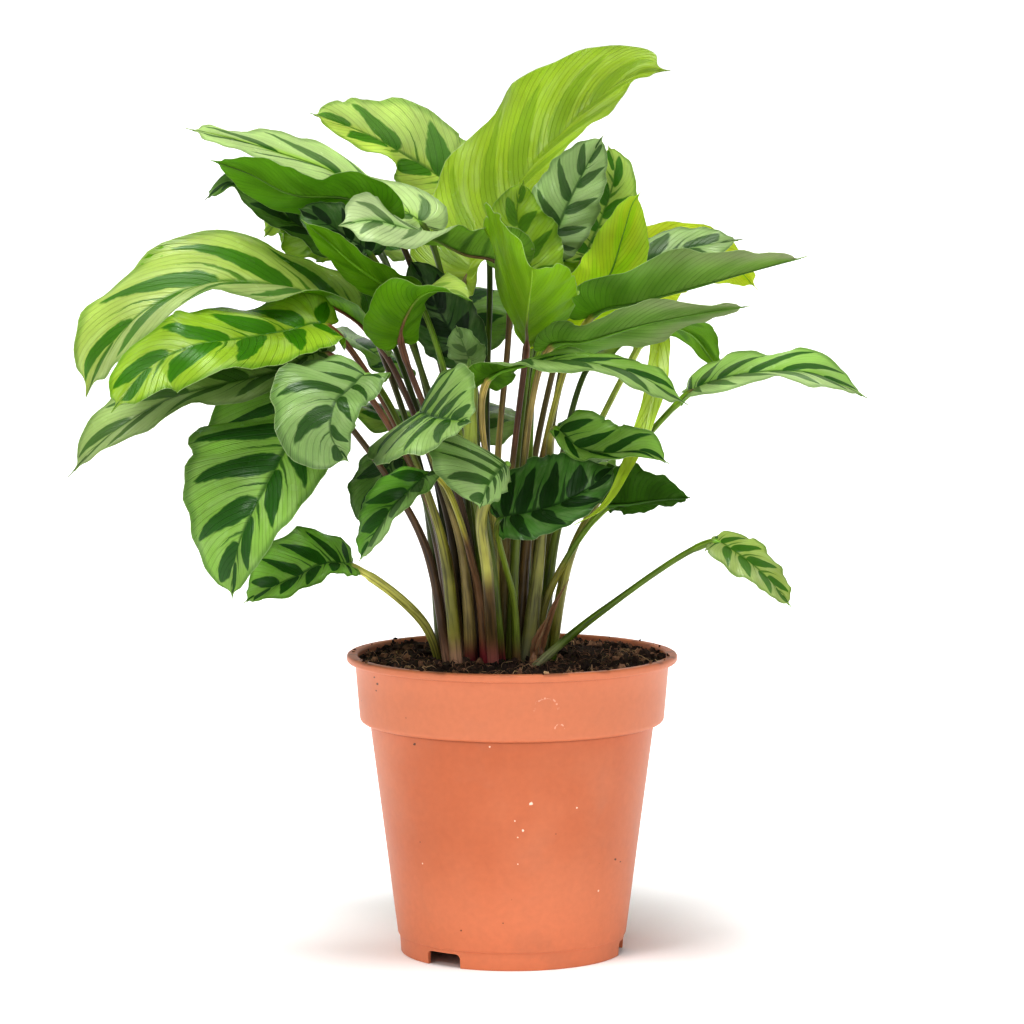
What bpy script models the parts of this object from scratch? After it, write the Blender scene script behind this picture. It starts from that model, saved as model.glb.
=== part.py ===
"""Potted calathea: a moulded plastic pot, its soil, and a crown of striped leaves on thin stalks.

Built in metres with +Z up. The origin is the middle of the pot's foot, on the floor, and the
plant's front looks along -Y. Leaf sizes and places are in millimetres and scaled once.
"""

import math
from dataclasses import dataclass

import bmesh
import bpy
import numpy as np

MM = 0.001
SMOOTH_ANGLE = math.radians(40.0)

# Pot
POT_HEIGHT = 127.4
POT_SIDES = 48
WALL = 1.3
WELD = 0.001
LIP_RADIUS = 70.0
LIP_HEIGHT = 3.3
LIP_ROUND = 0.9
COLLAR_TOP_RADIUS = 66.7
COLLAR_LOW_RADIUS = 64.6
LEDGE_HEIGHT = 98.4
LEDGE_ROUND = 2.4
BODY_TOP_RADIUS = 60.3
BODY_LOW_RADIUS = 48.6
FOOT_RADIUS = 47.3
FOOT_HEIGHT = 7.6
FOOT_THICK = 1.6
FLOOR_HEIGHT = 7.0
FLOOR_THICK = 1.6
MIDDLE_FOOT_RADIUS = 13.0
MIDDLE_FOOT_TAPER = 0.8
STEP_OUT = 0.5
CORNER_SHARE = 0.3
NOTCH_AZIMUTHS = (232.5, 352.5, 112.5)
NOTCH_WIDTH = 17.0
NOTCH_HEIGHT = 6.0
NOTCH_ROUND = 2.0
NOTCH_REACH = 8.0
DRAIN_COUNT = 6
DRAIN_RADIUS = 3.5
DRAIN_CIRCLE = 34.0
DRAIN_SIDES = 12
CUT_PAST = 1.0
POT_COLOUR = (0.76, 0.24, 0.10)
POT_ROUGHNESS = 0.4

# Soil
SOIL_GAP = 0.3
SOIL_EDGE_HEIGHT = 122.4
SOIL_CROWN_HEIGHT = 124.5
SOIL_MOUND = 3.0
SOIL_RADIUS = 64.8
SOIL_LUMPS = (0.7, 0.5)
# Rings of corners on the soil's top, and where its level edge starts, in shares of its radius
SOIL_RING_SHARES = (0.8, 0.58)
SOIL_FLAT_EDGE = 0.9
# Holes that the stalks stand in
HOLE_GAP = 0.3
HOLE_LENGTH = 18.0
HOLE_SIDES = 8
SOIL_COLOUR = (0.035, 0.022, 0.014)
SOIL_ROUGHNESS = 0.95

# Leaf section: points from the midrib to each margin, and half thickness at the blade
ACROSS = 2
BLADE_HALF_THICK = 0.36
RIB_HALF_THICK = 0.8
SHEATH_RADIUS = 2.4
STALK_RADIUS = 1.15
JOINT_RADIUS = 1.5
SHEATH_SHARE = 0.42
JOINT_LENGTH = 9.0
JOINT_REACH = 9.0
JOINT_CLEAR = 0.6
STALK_RINGS = (0.0, 0.28, 0.6, 0.9, 1.0)
BLADE_ROWS = (0.07, 0.17, 0.3, 0.44, 0.58, 0.72, 0.86, 0.985)
TIP_HALF_WIDTH = 0.7

# Outline of a flat blade from the joint to the tip, in shares of its length and half width:
# where the side vein leaves the midrib, then where it meets the margin, along and across
OUTLINE = (
    (0.000, 0.000, 0.00),
    (0.012, -0.055, 0.30),
    (0.040, -0.030, 0.62),
    (0.100, 0.090, 0.88),
    (0.180, 0.240, 0.98),
    (0.290, 0.400, 1.00),
    (0.420, 0.550, 0.94),
    (0.560, 0.700, 0.79),
    (0.710, 0.830, 0.56),
    (0.860, 0.930, 0.27),
    (1.000, 1.000, 0.00),
)
WIDEST_ROW = 0.5
VEIN_BEND = 1.4
# Blades narrower than this share of their length have veins that lean forward less
LEAN_SHARE = 0.12
FOLD_EASE = 0.8
# How far the waves of the two margins are out of step, in turns
WAVE_SHIFT = 0.35

# Line of a leaf
ROOT_HEIGHT = 115.0
TRACK_STEPS = 24
JOINT_GAP = 0.8
RISE_OUT = 0.22
RISE_UP = 0.5

# Base colour of each tone
LEAF_ROUGHNESS = 0.4
TONES = {
    "young": (0.42, 0.55, 0.10),
    "fresh": (0.32, 0.50, 0.12),
    "pale": (0.42, 0.52, 0.30),
    "mature": (0.12, 0.27, 0.07),
    "silver": (0.50, 0.58, 0.42),
    "dark": (0.08, 0.17, 0.05),
    "shade": (0.05, 0.12, 0.05),
    "dry": (0.45, 0.27, 0.14),
}


@dataclass
class Leaf:
    """One leaf, in millimetres from the pot's axis at the floor."""

    name: str
    root: tuple  # where the stalk stands in the soil: x, y
    rib: list  # points that the midrib passes, from the joint to the tip
    face: tuple  # where the upper side looks, at the joint and at the tip
    half: tuple  # half widths, left and right of the midrib
    stalk: list = None  # points that the stalk passes between the soil and the joint
    fold: tuple = (12, 12)  # how far each half is raised out of flat at the joint, in degrees
    spread: tuple = (12, 12)  # the same at the tip
    curl: tuple = (-25, -25)  # further turn from midrib to margin, in degrees
    wave: tuple = (1.5, 3.0, 0.0)  # height, count and phase of the margin's waves
    tone: str = "mature"
    lobe: float = 1.0  # how far the basal lobes reach back
    taper: float = 1.2  # how drawn out the tip is


def smooth_through(points, steps):
    """Positions along a smooth curve through the points, steps of them to each span."""
    points = np.array(points, float)
    spans = np.linalg.norm(np.diff(points, axis=0), axis=1)
    knots = np.concatenate([[0.0], np.cumsum(np.sqrt(spans))])
    slopes = np.gradient(points, knots, axis=0)
    pieces = []
    for low in range(len(points) - 1):
        width = knots[low + 1] - knots[low]
        x = np.linspace(0.0, 1.0, steps, endpoint=False)[:, None]
        pieces.append(
            (2 * x**3 - 3 * x**2 + 1) * points[low]
            + (x**3 - 2 * x**2 + x) * width * slopes[low]
            + (3 * x**2 - 2 * x**3) * points[low + 1]
            + (x**3 - x**2) * width * slopes[low + 1]
        )
    pieces.append(points[-1:])
    return np.concatenate(pieces)


def unit(vectors):
    """The same directions with a length of one."""
    vectors = np.asarray(vectors, float)
    return vectors / np.linalg.norm(vectors, axis=-1, keepdims=True)


class Track:
    """The line of a leaf from its root to its tip, with the way its upper side looks."""

    def __init__(self, leaf):
        start = np.array([*leaf.root, ROOT_HEIGHT])
        stalk = leaf.stalk or [start + (leaf.rib[0] - start) * (RISE_OUT, RISE_OUT, RISE_UP)]
        nodes = [start, *stalk, *leaf.rib]
        self.points = smooth_through(nodes, TRACK_STEPS)
        spans = np.linalg.norm(np.diff(self.points, axis=0), axis=1)
        along = np.concatenate([[0.0], np.cumsum(spans)])
        joint = TRACK_STEPS * (1 + len(stalk))
        self.along = along - along[joint]
        self.stalk_length = along[joint]
        self.length = self.along[-1]
        self.tangents = unit(np.gradient(self.points, self.along, axis=0))
        self.normals = self._normals(leaf, joint)

    def _normals(self, leaf, joint):
        first, last = unit(leaf.face[0]), unit(leaf.face[1])
        share = np.clip(self.along / self.length, 0.0, 1.0)[:, None]
        wanted = first + (last - first) * share
        normals = np.empty_like(wanted)
        for row in range(len(wanted) - 1, -1, -1):
            aim = wanted[row] if row >= joint else normals[row + 1]
            tangent = self.tangents[row]
            normals[row] = unit(aim - np.dot(aim, tangent) * tangent)
        return normals

    def frame(self, distance):
        """Position, tangent and normal at distances along the line, 0 at the joint."""
        distance = np.asarray(distance, float)
        kept = np.clip(distance, self.along[0], self.along[-1])
        found = []
        for values in (self.points, self.tangents, self.normals):
            columns = [np.interp(kept, self.along, values[:, axis]) for axis in range(3)]
            found.append(np.stack(columns, -1))
        place, tangent, normal = found
        return place, unit(tangent), unit(normal)

    def blade_frame(self, distance):
        """As frame, carried straight on past the joint and the tip."""
        inside = np.clip(distance, 0.0, self.length)
        place, tangent, normal = self.frame(inside)
        beyond = (np.asarray(distance) - inside)[..., None]
        return place + tangent * beyond, tangent, normal


def outline_at(shares):
    """Outline columns at shares of the way from the joint to the tip."""
    table = smooth_through(OUTLINE, TRACK_STEPS)
    place = np.linspace(0.0, 1.0, len(table))
    return [np.interp(shares, place, table[:, column]) for column in range(3)]


def blade_grid(leaf, track, rows, columns):
    """Middle surface of the blade: one row of points to each side vein, margin to margin."""
    rows = np.asarray(rows)[:, None]
    reach = np.asarray(columns)[None, :]
    leave, meet, width = outline_at(rows)
    width = np.where(rows > WIDEST_ROW, width**leaf.taper, width)
    meet = np.where(meet < 0, meet * leaf.lobe, meet)
    right = reach > 0
    side = np.abs(reach)
    widest = np.where(right, leaf.half[1], leaf.half[0])
    half = np.maximum(widest * width, TIP_HALF_WIDTH)
    lean = np.minimum(1.0, widest / (LEAN_SHARE * track.length))
    along = track.length * (leave + lean * (meet - leave) * side**VEIN_BEND)
    fold = np.radians(np.where(right, leaf.fold[1], leaf.fold[0]))
    spread = np.radians(np.where(right, leaf.spread[1], leaf.spread[0]))
    curl = np.radians(np.where(right, leaf.curl[1], leaf.curl[0]))
    angle = fold + (spread - fold) * rows**FOLD_EASE + curl * side / 2
    height, count, phase = leaf.wave
    turn = 2 * np.pi * (count * rows + phase + WAVE_SHIFT * right)
    ripple = height * side**2 * np.sin(turn) * np.sin(np.pi * rows)
    out = half * side * np.cos(angle)
    up = half * side * np.sin(angle) + ripple
    place, tangent, normal = track.blade_frame(along)
    sideways = np.cross(tangent, normal) * np.where(right, 1.0, -1.0)[..., None]
    return place + sideways * out[..., None] + normal * up[..., None]


def grid_normals(grid, hint):
    """Unit normals of a grid of points, on the side that hint looks at."""
    down = np.gradient(grid, axis=0)
    along = np.gradient(grid, axis=1)
    normals = unit(np.cross(down, along))
    flip = np.sign(np.sum(normals * hint, axis=-1, keepdims=True))
    return normals * np.where(flip == 0, 1.0, flip)


def stalk_radius(share, before_joint):
    """Radius of a stalk at a share of its length, the rest of it being before the joint."""
    if before_joint < JOINT_LENGTH:
        return JOINT_RADIUS
    if share < SHEATH_SHARE:
        return SHEATH_RADIUS + (STALK_RADIUS - SHEATH_RADIUS) * (share / SHEATH_SHARE)
    return STALK_RADIUS


def joint_back(track, base):
    """How far before the joint the stalk ends, so that the whole base of the blade is ahead of it."""
    back = JOINT_GAP
    while back < JOINT_REACH:
        place, tangent, _ = track.frame(-back)
        if np.min((base - place) @ tangent) > JOINT_CLEAR:
            break
        back += JOINT_GAP / 2.0
    return back


def stalk_rings(track, base):
    """Upper and lower points of each ring of the stalk, left to right, up to the blade's base."""
    columns = 2 * ACROSS + 1
    step = math.pi / columns
    angles = math.pi - step * (np.arange(columns) + 0.5)
    back = joint_back(track, base)
    rings = []
    for share in STALK_RINGS:
        distance = (share - 1.0) * (track.stalk_length - back) - back
        place, tangent, normal = track.frame(distance)
        right = np.cross(tangent, normal)
        radius = stalk_radius(share, -distance)
        sides = np.cos(angles)[:, None] * right * radius
        lift = np.sin(angles)[:, None] * normal * radius
        rings.append((place + sides + lift, place + sides - lift))
    return rings


def blade_rings(leaf, track):
    """Upper and lower points of each row of the blade, left margin to right margin."""
    columns = np.linspace(-1.0, 1.0, 2 * ACROSS + 1)
    grid = blade_grid(leaf, track, BLADE_ROWS, columns)
    hint = track.blade_frame(np.array(BLADE_ROWS) * track.length)[2][:, None, :]
    normals = grid_normals(grid, hint)
    above = np.full(len(columns), BLADE_HALF_THICK)
    rings = []
    for row, share in enumerate(BLADE_ROWS):
        below = above.copy()
        below[ACROSS] += (RIB_HALF_THICK - BLADE_HALF_THICK) * (1.0 - share)
        upper = grid[row] + normals[row] * above[:, None]
        lower = grid[row] - normals[row] * below[:, None]
        rings.append((upper, lower))
    return rings


def split_alike(row, column, lower, columns):
    """Two triangles of a quad, its diagonal mirrored about the midrib and alike on both faces."""
    start = row * 2 * columns + column + (columns if lower else 0)
    near, far = start, start + 2 * columns
    if column < columns // 2:
        pair = [(near, near + 1, far), (near + 1, far + 1, far)]
    else:
        pair = [(near, near + 1, far + 1), (near, far + 1, far)]
    return [tri[::-1] for tri in pair] if lower else pair


def leaf_mesh(leaf):
    """Closed shell of one leaf: points in millimetres and triangles."""
    track = Track(leaf)
    blade = blade_rings(leaf, track)
    rings = stalk_rings(track, np.concatenate(blade[0])) + blade
    columns = 2 * ACROSS + 1
    points = np.concatenate([np.concatenate(ring) for ring in rings])
    triangles = []
    for row in range(len(rings) - 1):
        for column in range(columns - 1):
            triangles += split_alike(row, column, False, columns)
            triangles += split_alike(row, column, True, columns)
        for upper, turn in ((0, 1), (columns - 1, -1)):
            a = row * 2 * columns + upper
            b, c, d = a + columns, a + 2 * columns, a + 3 * columns
            edge = [(a, c, b), (b, c, d)]
            triangles += edge if turn == 1 else [tri[::-1] for tri in edge]
    for first, turn in ((0, 1), ((len(rings) - 1) * 2 * columns, -1)):
        for column in range(columns - 1):
            a, b = first + column, first + column + 1
            c, d = a + columns, b + columns
            cap = [(a, c, b), (b, c, d)]
            triangles += cap if turn == 1 else [tri[::-1] for tri in cap]
    return points, triangles


LEAVES = [
    Leaf(
        "leaf_left_broad",
        root=(-19.4, 1),
        rib=[
            (-58, -6, 262), (-79, -18, 278), (-96, -28, 284), (-124, -40, 286),
            (-149, -50, 276), (-167, -56, 257), (-174, -58, 240),
        ],
        face=((-0.1, -0.45, 0.86), (-0.6, -0.65, 0.5)), half=(20, 34), fold=(60, 20), spread=(8, 12),
        curl=(-20, -20), wave=(3, 3.5, 0), tone="fresh", taper=0.7,
    ),
    Leaf(
        "leaf_left_bright",
        root=(-22.5, -4.4),
        rib=[
            (-76, -38, 268), (-92, -52, 267), (-110, -72, 265),
            (-128, -87, 263), (-145, -88, 255), (-160, -100, 237),
        ],
        face=((-0.1, -0.55, 0.83), (-0.5, -0.8, 0.4)), half=(24, 24), fold=(20, 36), spread=(10, 2),
        curl=(-25, -25), wave=(2, 3, 0.3), tone="young", taper=0.9,
    ),
    Leaf(
        "leaf_left_pale",
        root=(-19.4, -9.7),
        rib=[
            (-76, -44, 257), (-95, -57, 251), (-118, -68, 246),
            (-138, -74, 241), (-163, -76, 226), (-180, -76, 209),
        ],
        face=((-0.15, -0.6, 0.8), (-0.5, -0.75, 0.4)), half=(11, 26), fold=(20, 15), spread=(10, 10),
        curl=(-25, -30), wave=(2.5, 3.5, 0.1), tone="pale",
    ),
    Leaf(
        "leaf_left_hanging",
        root=(-25.6, -9.7),
        rib=[
            (-85, -54, 246), (-87, -72, 231), (-96, -84, 212),
            (-105, -90, 195), (-111, -92, 179), (-113, -88, 159),
        ],
        face=((-0.2, -0.75, 0.6), (-0.4, -0.9, 0.1)), half=(20, 42), fold=(20, 10), spread=(10, 5),
        wave=(2, 3, 0.2), tone="mature", taper=1.3,
    ),
    Leaf(
        "leaf_left_silver",
        root=(-22.5, -15.1),
        rib=[(-58, -74, 250), (-65, -88, 246), (-71, -99, 240), (-72, -101, 228), (-65, -98, 217)],
        face=((-0.2, -0.75, 0.6), (0, -1, 0.2)), half=(13, 28), fold=(40, 10), spread=(20, 10),
        curl=(-30, -20), wave=(1.5, 3, 0.5), tone="silver", taper=1.0,
    ),
    Leaf(
        "leaf_left_lowest",
        root=(-28.7, -4.4),
        rib=[(-67, -24, 167), (-78, -32, 169), (-90, -38, 164), (-100, -42, 160), (-111, -44, 154)],
        face=((-0.1, -0.5, 0.86), (-0.3, -0.6, 0.7)), half=(11, 26), fold=(15, 20), spread=(10, 10),
        curl=(-20, -20), wave=(1.2, 2.5, 0), tone="mature",
    ),
    Leaf(
        "leaf_left_funnel",
        root=(-13.2, -9.7),
        rib=[(-46, -30, 261), (-45, -38, 270), (-37, -50, 282), (-26, -60, 284), (-16, -68, 280)],
        face=((-0.3, 0.3, 0.9), (0.3, -0.4, 0.9)), half=(14, 17), fold=(20, 20), spread=(15, 15),
        curl=(10, 10), wave=(1.5, 3, 0.2), tone="fresh",
    ),
    Leaf(
        "leaf_left_hidden",
        root=(-25.6, 1),
        rib=[(-44, -8, 210), (-50, -10, 210), (-55, -12, 202), (-58, -14, 191), (-56, -14, 179)],
        face=((-0.1, -0.5, 0.85), (-0.2, -0.95, 0.2)), half=(12, 13), tone="dark",
    ),
    Leaf(
        "leaf_front_turned",
        root=(-10.1, -15.1),
        rib=[(-32, -58, 209), (-42, -66, 203), (-50, -74, 195), (-57, -78, 184), (-62, -79, 175)],
        face=((-0.5, -0.5, 0.7), (-0.6, -0.6, 0.4)), half=(9, 17), fold=(10, 20), spread=(10, 10),
        curl=(-20, -20), wave=(1, 2, 0), tone="dark",
    ),
    Leaf(
        "leaf_front_notched",
        root=(-16.3, -15.1),
        rib=[(-38, -60, 233), (-33, -76, 234), (-26, -92, 234), (-16, -106, 234)],
        face=((-0.39, -0.27, 0.85), (-0.35, -0.45, 0.8)), half=(24, 30), fold=(45, 0), spread=(25, 5),
        curl=(-20, -20), wave=(1, 2.5, 0.2), tone="mature", lobe=1.3, taper=1.0,
    ),
    Leaf(
        "leaf_front_silver",
        root=(-7, -20.5),
        rib=[(-2, -62, 213), (-6, -76, 211), (-10, -88, 206), (-13, -94, 198)],
        stalk=[(-10, -34, 164), (-12, -50, 193)],
        face=((0.25, -0.5, 0.8), (0.1, -0.8, 0.4)), half=(10, 33), fold=(-50, 10), spread=(-30, 10),
        curl=(-40, -15), wave=(1, 2.5, 0), tone="silver", lobe=2, taper=1.0,
    ),
    Leaf(
        "leaf_front_dark",
        root=(2.3, -15.1),
        rib=[(-5, -42, 188), (6, -48, 192), (19, -52, 196), (32, -54, 203), (43, -52, 212)],
        face=((-0.1, -0.75, 0.65), (-0.1, -0.75, 0.65)), half=(26, 13), fold=(10, 10), spread=(10, 10),
        curl=(-15, -25), wave=(1, 2.5, 0.4), tone="shade",
    ),
    Leaf(
        "leaf_front_rolled",
        root=(5.4, -9.7),
        rib=[(18, -42, 226), (28, -54, 219), (41, -64, 218), (53, -68, 219), (64, -70, 214)],
        stalk=[(15, -16, 200)],
        face=((0, -0.45, 0.9), (0.1, -0.5, 0.85)), half=(17, 5), fold=(25, -10), spread=(20, -10),
        curl=(0, -20), wave=(1.2, 2.5, 0.3), tone="mature",
    ),
    Leaf(
        "leaf_right_shaded",
        root=(8.5, -4.4),
        rib=[(40, -23, 192), (49, -28, 194), (61, -32, 196), (74, -36, 197)],
        face=((0, 0.7, 0.7), (0, 0.7, 0.7)), half=(8, 25), fold=(10, 10), spread=(10, 10),
        curl=(-10, -20), wave=(1, 2, 0), tone="shade",
    ),
    Leaf(
        "leaf_right_strap",
        root=(11.6, 1),
        rib=[
            (53, 6, 256), (57, -3, 264), (61, -13, 264), (61, -24, 254),
            (58, -37, 238), (47, -56, 212), (37, -64, 196), (22, -67, 187),
        ],
        face=((0.1, 0.3, 0.9), (0.3, -0.8, 0.5)), half=(4.6, 4.6), fold=(8, 8), spread=(8, 8),
        curl=(10, 10), wave=(0.4, 2, 0), tone="young",
    ),
    Leaf(
        "leaf_right_front",
        root=(-7, -9.7),
        rib=[(-10, -52, 247), (5, -60, 254), (24, -72, 256), (48, -80, 252), (71, -84, 239)],
        face=((0, 0.25, 0.95), (0.1, -0.5, 0.85)), half=(20, 17), fold=(35, 10), spread=(5, 10),
        wave=(2, 2.5, 0.2), tone="mature", lobe=1.3,
    ),
    Leaf(
        "leaf_right_middle",
        root=(-0.8, -9.7),
        rib=[(16, -30, 259), (30, -36, 262), (53, -42, 269), (77, -46, 274), (98, -46, 277)],
        face=((-0.1, 0.75, 0.65), (-0.1, 0.75, 0.65)), half=(14, 11), fold=(25, 15), spread=(20, 15),
        curl=(-20, -20), wave=(2.5, 3, 0.1), tone="dark", taper=1.6,
    ),
    Leaf(
        "leaf_right_long",
        root=(2.3, -4.4),
        rib=[(33, -8, 270), (53, -15, 277), (78, -18, 284), (103, -18, 291), (123, -16, 296)],
        face=((-0.1, 0.8, 0.6), (-0.1, 0.8, 0.6)), half=(15, 20), fold=(60, 10), spread=(60, 10),
        curl=(-10, -20), wave=(2.5, 3, 0.3), tone="dark", taper=1.7,
    ),
    Leaf(
        "leaf_right_pale",
        root=(5.4, 11.7),
        rib=[(34, 60, 272), (56, 64, 288), (77, 64, 294), (97, 64, 288), (107, 62, 278)],
        face=((0, 0.8, 0.6), (0.3, 0.8, 0.5)), half=(22, 18), tone="young",
    ),
    Leaf(
        "leaf_right_grey",
        root=(8.5, 6.4),
        rib=[(31, 24, 276), (50, 23, 289), (71, 20, 297), (98, 16, 302)],
        face=((0, -0.55, 0.8), (0.1, -0.6, 0.8)), half=(18, 16), tone="silver",
    ),
    Leaf(
        "leaf_right_arched",
        root=(14.7, -4.4),
        rib=[
            (73, -34, 240), (84, -40, 246), (102, -48, 250),
            (122, -54, 250), (135, -58, 245), (145, -60, 240),
        ],
        face=((0, -0.4, 0.9), (0.1, -0.4, 0.9)), half=(20, 10), fold=(15, 10), spread=(10, 10),
        curl=(-20, -25), wave=(2, 3, 0.2), tone="mature",
    ),
    Leaf(
        "leaf_right_lowest",
        root=(-0.8, -20.5),
        rib=[(83, -50, 180), (91, -56, 177), (104, -62, 167), (114, -66, 155)],
        stalk=[(37, -34, 149)],
        face=((0.2, -0.5, 0.8), (0.4, -0.5, 0.7)), half=(14, 11), fold=(10, 10), spread=(10, 10),
        wave=(1, 2.5, 0.2), tone="fresh",
    ),
    Leaf(
        "leaf_top_tallest",
        root=(-7, 11.7),
        rib=[
            (-20, 44, 283), (-8, 50, 306), (4, 52, 326), (22, 52, 347),
            (41, 50, 364), (55, 46, 372), (68, 40, 373),
        ],
        face=((-0.5, -0.8, 0.35), (-0.4, -0.8, 0.5)), half=(38, 16), fold=(5, 35), spread=(10, 25),
        curl=(-15, -10), wave=(3, 3, 0.2), tone="young", taper=1.1,
    ),
    Leaf(
        "leaf_top_left",
        root=(-10.1, 17.1),
        rib=[(-15, 94, 315), (-31, 90, 326), (-48, 79, 337), (-64, 62, 346), (-87, 44, 355)],
        face=((-0.1, -0.9, 0.45), (-0.2, -0.8, 0.6)), half=(14, 24), fold=(15, 15), spread=(10, 10),
        curl=(-15, -15), wave=(3, 3, 0.3), tone="fresh",
    ),
    Leaf(
        "leaf_top_long",
        root=(-16.3, 6.4),
        rib=[
            (-38, 32, 307), (-59, 28, 318), (-76, 22, 330),
            (-97, 12, 338), (-116, 6, 344), (-137, 0, 349),
        ],
        face=((-0.15, -0.5, 0.85), (-0.2, -0.5, 0.85)), half=(18, 20), spread=(10, 10), curl=(-20, -20),
        wave=(3, 3, 0.1), tone="mature",
    ),
    Leaf(
        "leaf_high_dark",
        root=(-13.2, 1),
        rib=[(-53, 8, 312), (-69, -3, 320), (-92, -13, 322), (-110, -18, 331), (-125, -20, 336)],
        face=((0, 0.75, 0.65), (0, 0.75, 0.65)), half=(14, 13), fold=(10, 10), spread=(10, 10),
        wave=(2.5, 3, 0.1), tone="dark", taper=0.9,
    ),
    Leaf(
        "leaf_high_banded",
        root=(-28.7, 6.4),
        rib=[(-78, 20, 299), (-92, 16, 309), (-105, 10, 319), (-118, 5, 326), (-129, 0, 319)],
        face=((-0.2, -0.6, 0.75), (-0.4, -0.6, 0.6)), half=(9, 13), tone="dark",
    ),
    Leaf(
        "leaf_high_small",
        root=(-22.5, 6.4),
        rib=[(-73, 30, 299), (-87, 30, 305), (-99, 30, 309), (-106, 30, 302)],
        face=((-0.3, -0.7, 0.6), (-0.6, -0.6, 0.4)), half=(14, 16), tone="young",
    ),
    Leaf(
        "leaf_high_shaded",
        root=(-16.3, -4.4),
        rib=[(-59, -10, 296), (-69, -14, 304), (-79, -18, 311), (-89, -18, 316)],
        face=((-0.3, -0.7, 0.6), (-0.3, -0.7, 0.6)), half=(12, 12), tone="shade", taper=0.9,
    ),
    Leaf(
        "leaf_high_narrow",
        root=(-10.1, -4.4),
        rib=[(-42, -14, 282), (-53, -22, 285), (-66, -28, 294), (-77, -32, 304), (-87, -34, 312)],
        face=((-0.3, 0.5, 0.8), (-0.3, 0.5, 0.8)), half=(8, 9), tone="fresh",
    ),
    Leaf(
        "leaf_middle_silver",
        root=(-7, 1),
        rib=[
            (-4, 7, 291), (-20, -2, 297), (-33, -20, 304),
            (-46, -38, 309), (-58, -48, 312), (-71, -54, 310),
        ],
        face=((0, 0.1, 1), (-0.2, -0.9, 0.35)), half=(22, 22), fold=(70, 30), spread=(5, 5),
        curl=(-10, -20), wave=(1.5, 3, 0.3), tone="silver", taper=0.7,
    ),
    Leaf(
        "leaf_middle_keeled",
        root=(-3.9, -4.4),
        rib=[(6, -30, 259), (6, -49, 269), (7, -69, 281), (8, -83, 290), (8, -93, 295)],
        face=((0, 0.5, 0.85), (0, 0.4, 0.9)), half=(24, 50), fold=(34, 70), spread=(20, 62),
        curl=(10, 10), tone="young", taper=1.0,
    ),
    Leaf(
        "leaf_top_bright",
        root=(-0.8, 1),
        rib=[(9, 22, 283), (5, 22, 299), (2, 21, 312), (5, 19, 327)],
        face=((-0.2, -0.8, 0.5), (-0.1, -0.9, 0.3)), half=(14, 16), tone="young",
    ),
    Leaf(
        "leaf_top_silver",
        root=(-3.9, 6.4),
        rib=[(17, 30, 297), (22, 29, 312), (30, 28, 329), (39, 25, 346)],
        face=((-0.1, -0.85, 0.5), (-0.1, -0.85, 0.5)), half=(17, 14), tone="silver",
    ),
    Leaf(
        "leaf_top_banded",
        root=(2.3, 6.4),
        rib=[(31, 45, 292), (39, 45, 311), (44, 44, 329), (41, 42, 342)],
        face=((0.1, -0.85, 0.5), (0.1, -0.85, 0.5)), half=(15, 13), tone="fresh",
    ),
    Leaf(
        "leaf_right_upright",
        root=(5.4, 1),
        rib=[(13, 8, 258), (28, 9, 273), (40, 8, 285), (47, 6, 305), (51, 4, 318), (55, 4, 323)],
        face=((0.1, 0.9, 0.3), (0.1, 0.9, 0.3)), half=(16, 14), tone="fresh",
    ),
    Leaf(
        "leaf_middle_shaded",
        root=(-10.1, 6.4),
        rib=[(-20, -1, 252), (-28, -5, 268), (-36, -8, 283), (-43, -11, 295)],
        face=((-0.3, -0.7, 0.6), (-0.3, -0.7, 0.6)), half=(14, 14), tone="shade",
    ),
    Leaf(
        "leaf_middle_small",
        root=(-3.9, -15.1),
        rib=[(-17, -40, 252), (-20, -44, 261), (-23, -46, 269)],
        stalk=[(-9, -26, 168), (-17, -38, 218)],
        face=((-0.4, -0.8, 0.4), (-0.4, -0.8, 0.4)), half=(8, 8), tone="silver",
    ),
    Leaf(
        "leaf_back_middle",
        root=(-13.2, 11.7),
        rib=[(-22, 60, 258), (-28, 96, 276), (-34, 130, 272), (-38, 154, 252)],
        face=((0, 0.45, 0.9), (0, 0.75, 0.6)), half=(25, 27), wave=(2, 3, 0.1), tone="mature",
    ),
    Leaf(
        "leaf_back_left_low",
        root=(11.6, 11.7),
        rib=[(36, 78, 248), (60, 102, 260), (80, 122, 256), (94, 136, 238)],
        face=((0, 0.25, 0.95), (0.3, 0.5, 0.8)), half=(17, 18), tone="fresh",
    ),
    Leaf(
        "leaf_back_right_wide",
        root=(-19.4, 11.7),
        rib=[(-54, 50, 246), (-86, 80, 258), (-110, 104, 252), (-126, 118, 232)],
        face=((-0.2, 0.4, 0.9), (-0.6, 0.5, 0.6)), half=(24, 26), wave=(2, 3, 0.3), tone="mature",
    ),
    Leaf(
        "leaf_back_silver",
        root=(2.3, 17.1),
        rib=[(14, 48, 190), (24, 76, 200), (32, 102, 196), (37, 118, 180)],
        face=((0, 0.45, 0.9), (0, 0.75, 0.6)), half=(20, 20), tone="silver",
    ),
    Leaf(
        "leaf_back_right_low",
        root=(-25.6, 11.7),
        rib=[(-52, 44, 222), (-80, 66, 228), (-108, 86, 214), (-124, 96, 188)],
        face=((-0.3, 0.3, 0.9), (-0.6, 0.6, 0.5)), half=(24, 26), wave=(2, 3, 0.2), tone="fresh",
    ),
    Leaf(
        "leaf_back_lowest",
        root=(-7, 22.5),
        rib=[(-8, 50, 160), (-8, 80, 168), (-9, 106, 162), (-10, 122, 144)],
        face=((0, 0.45, 0.9), (0, 0.75, 0.6)), half=(20, 22), tone="mature",
    ),
    Leaf(
        "leaf_back_pale",
        root=(-16.3, 17.1),
        rib=[(-18, 58, 215), (-22, 90, 226), (-27, 120, 220), (-30, 138, 200)],
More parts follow.
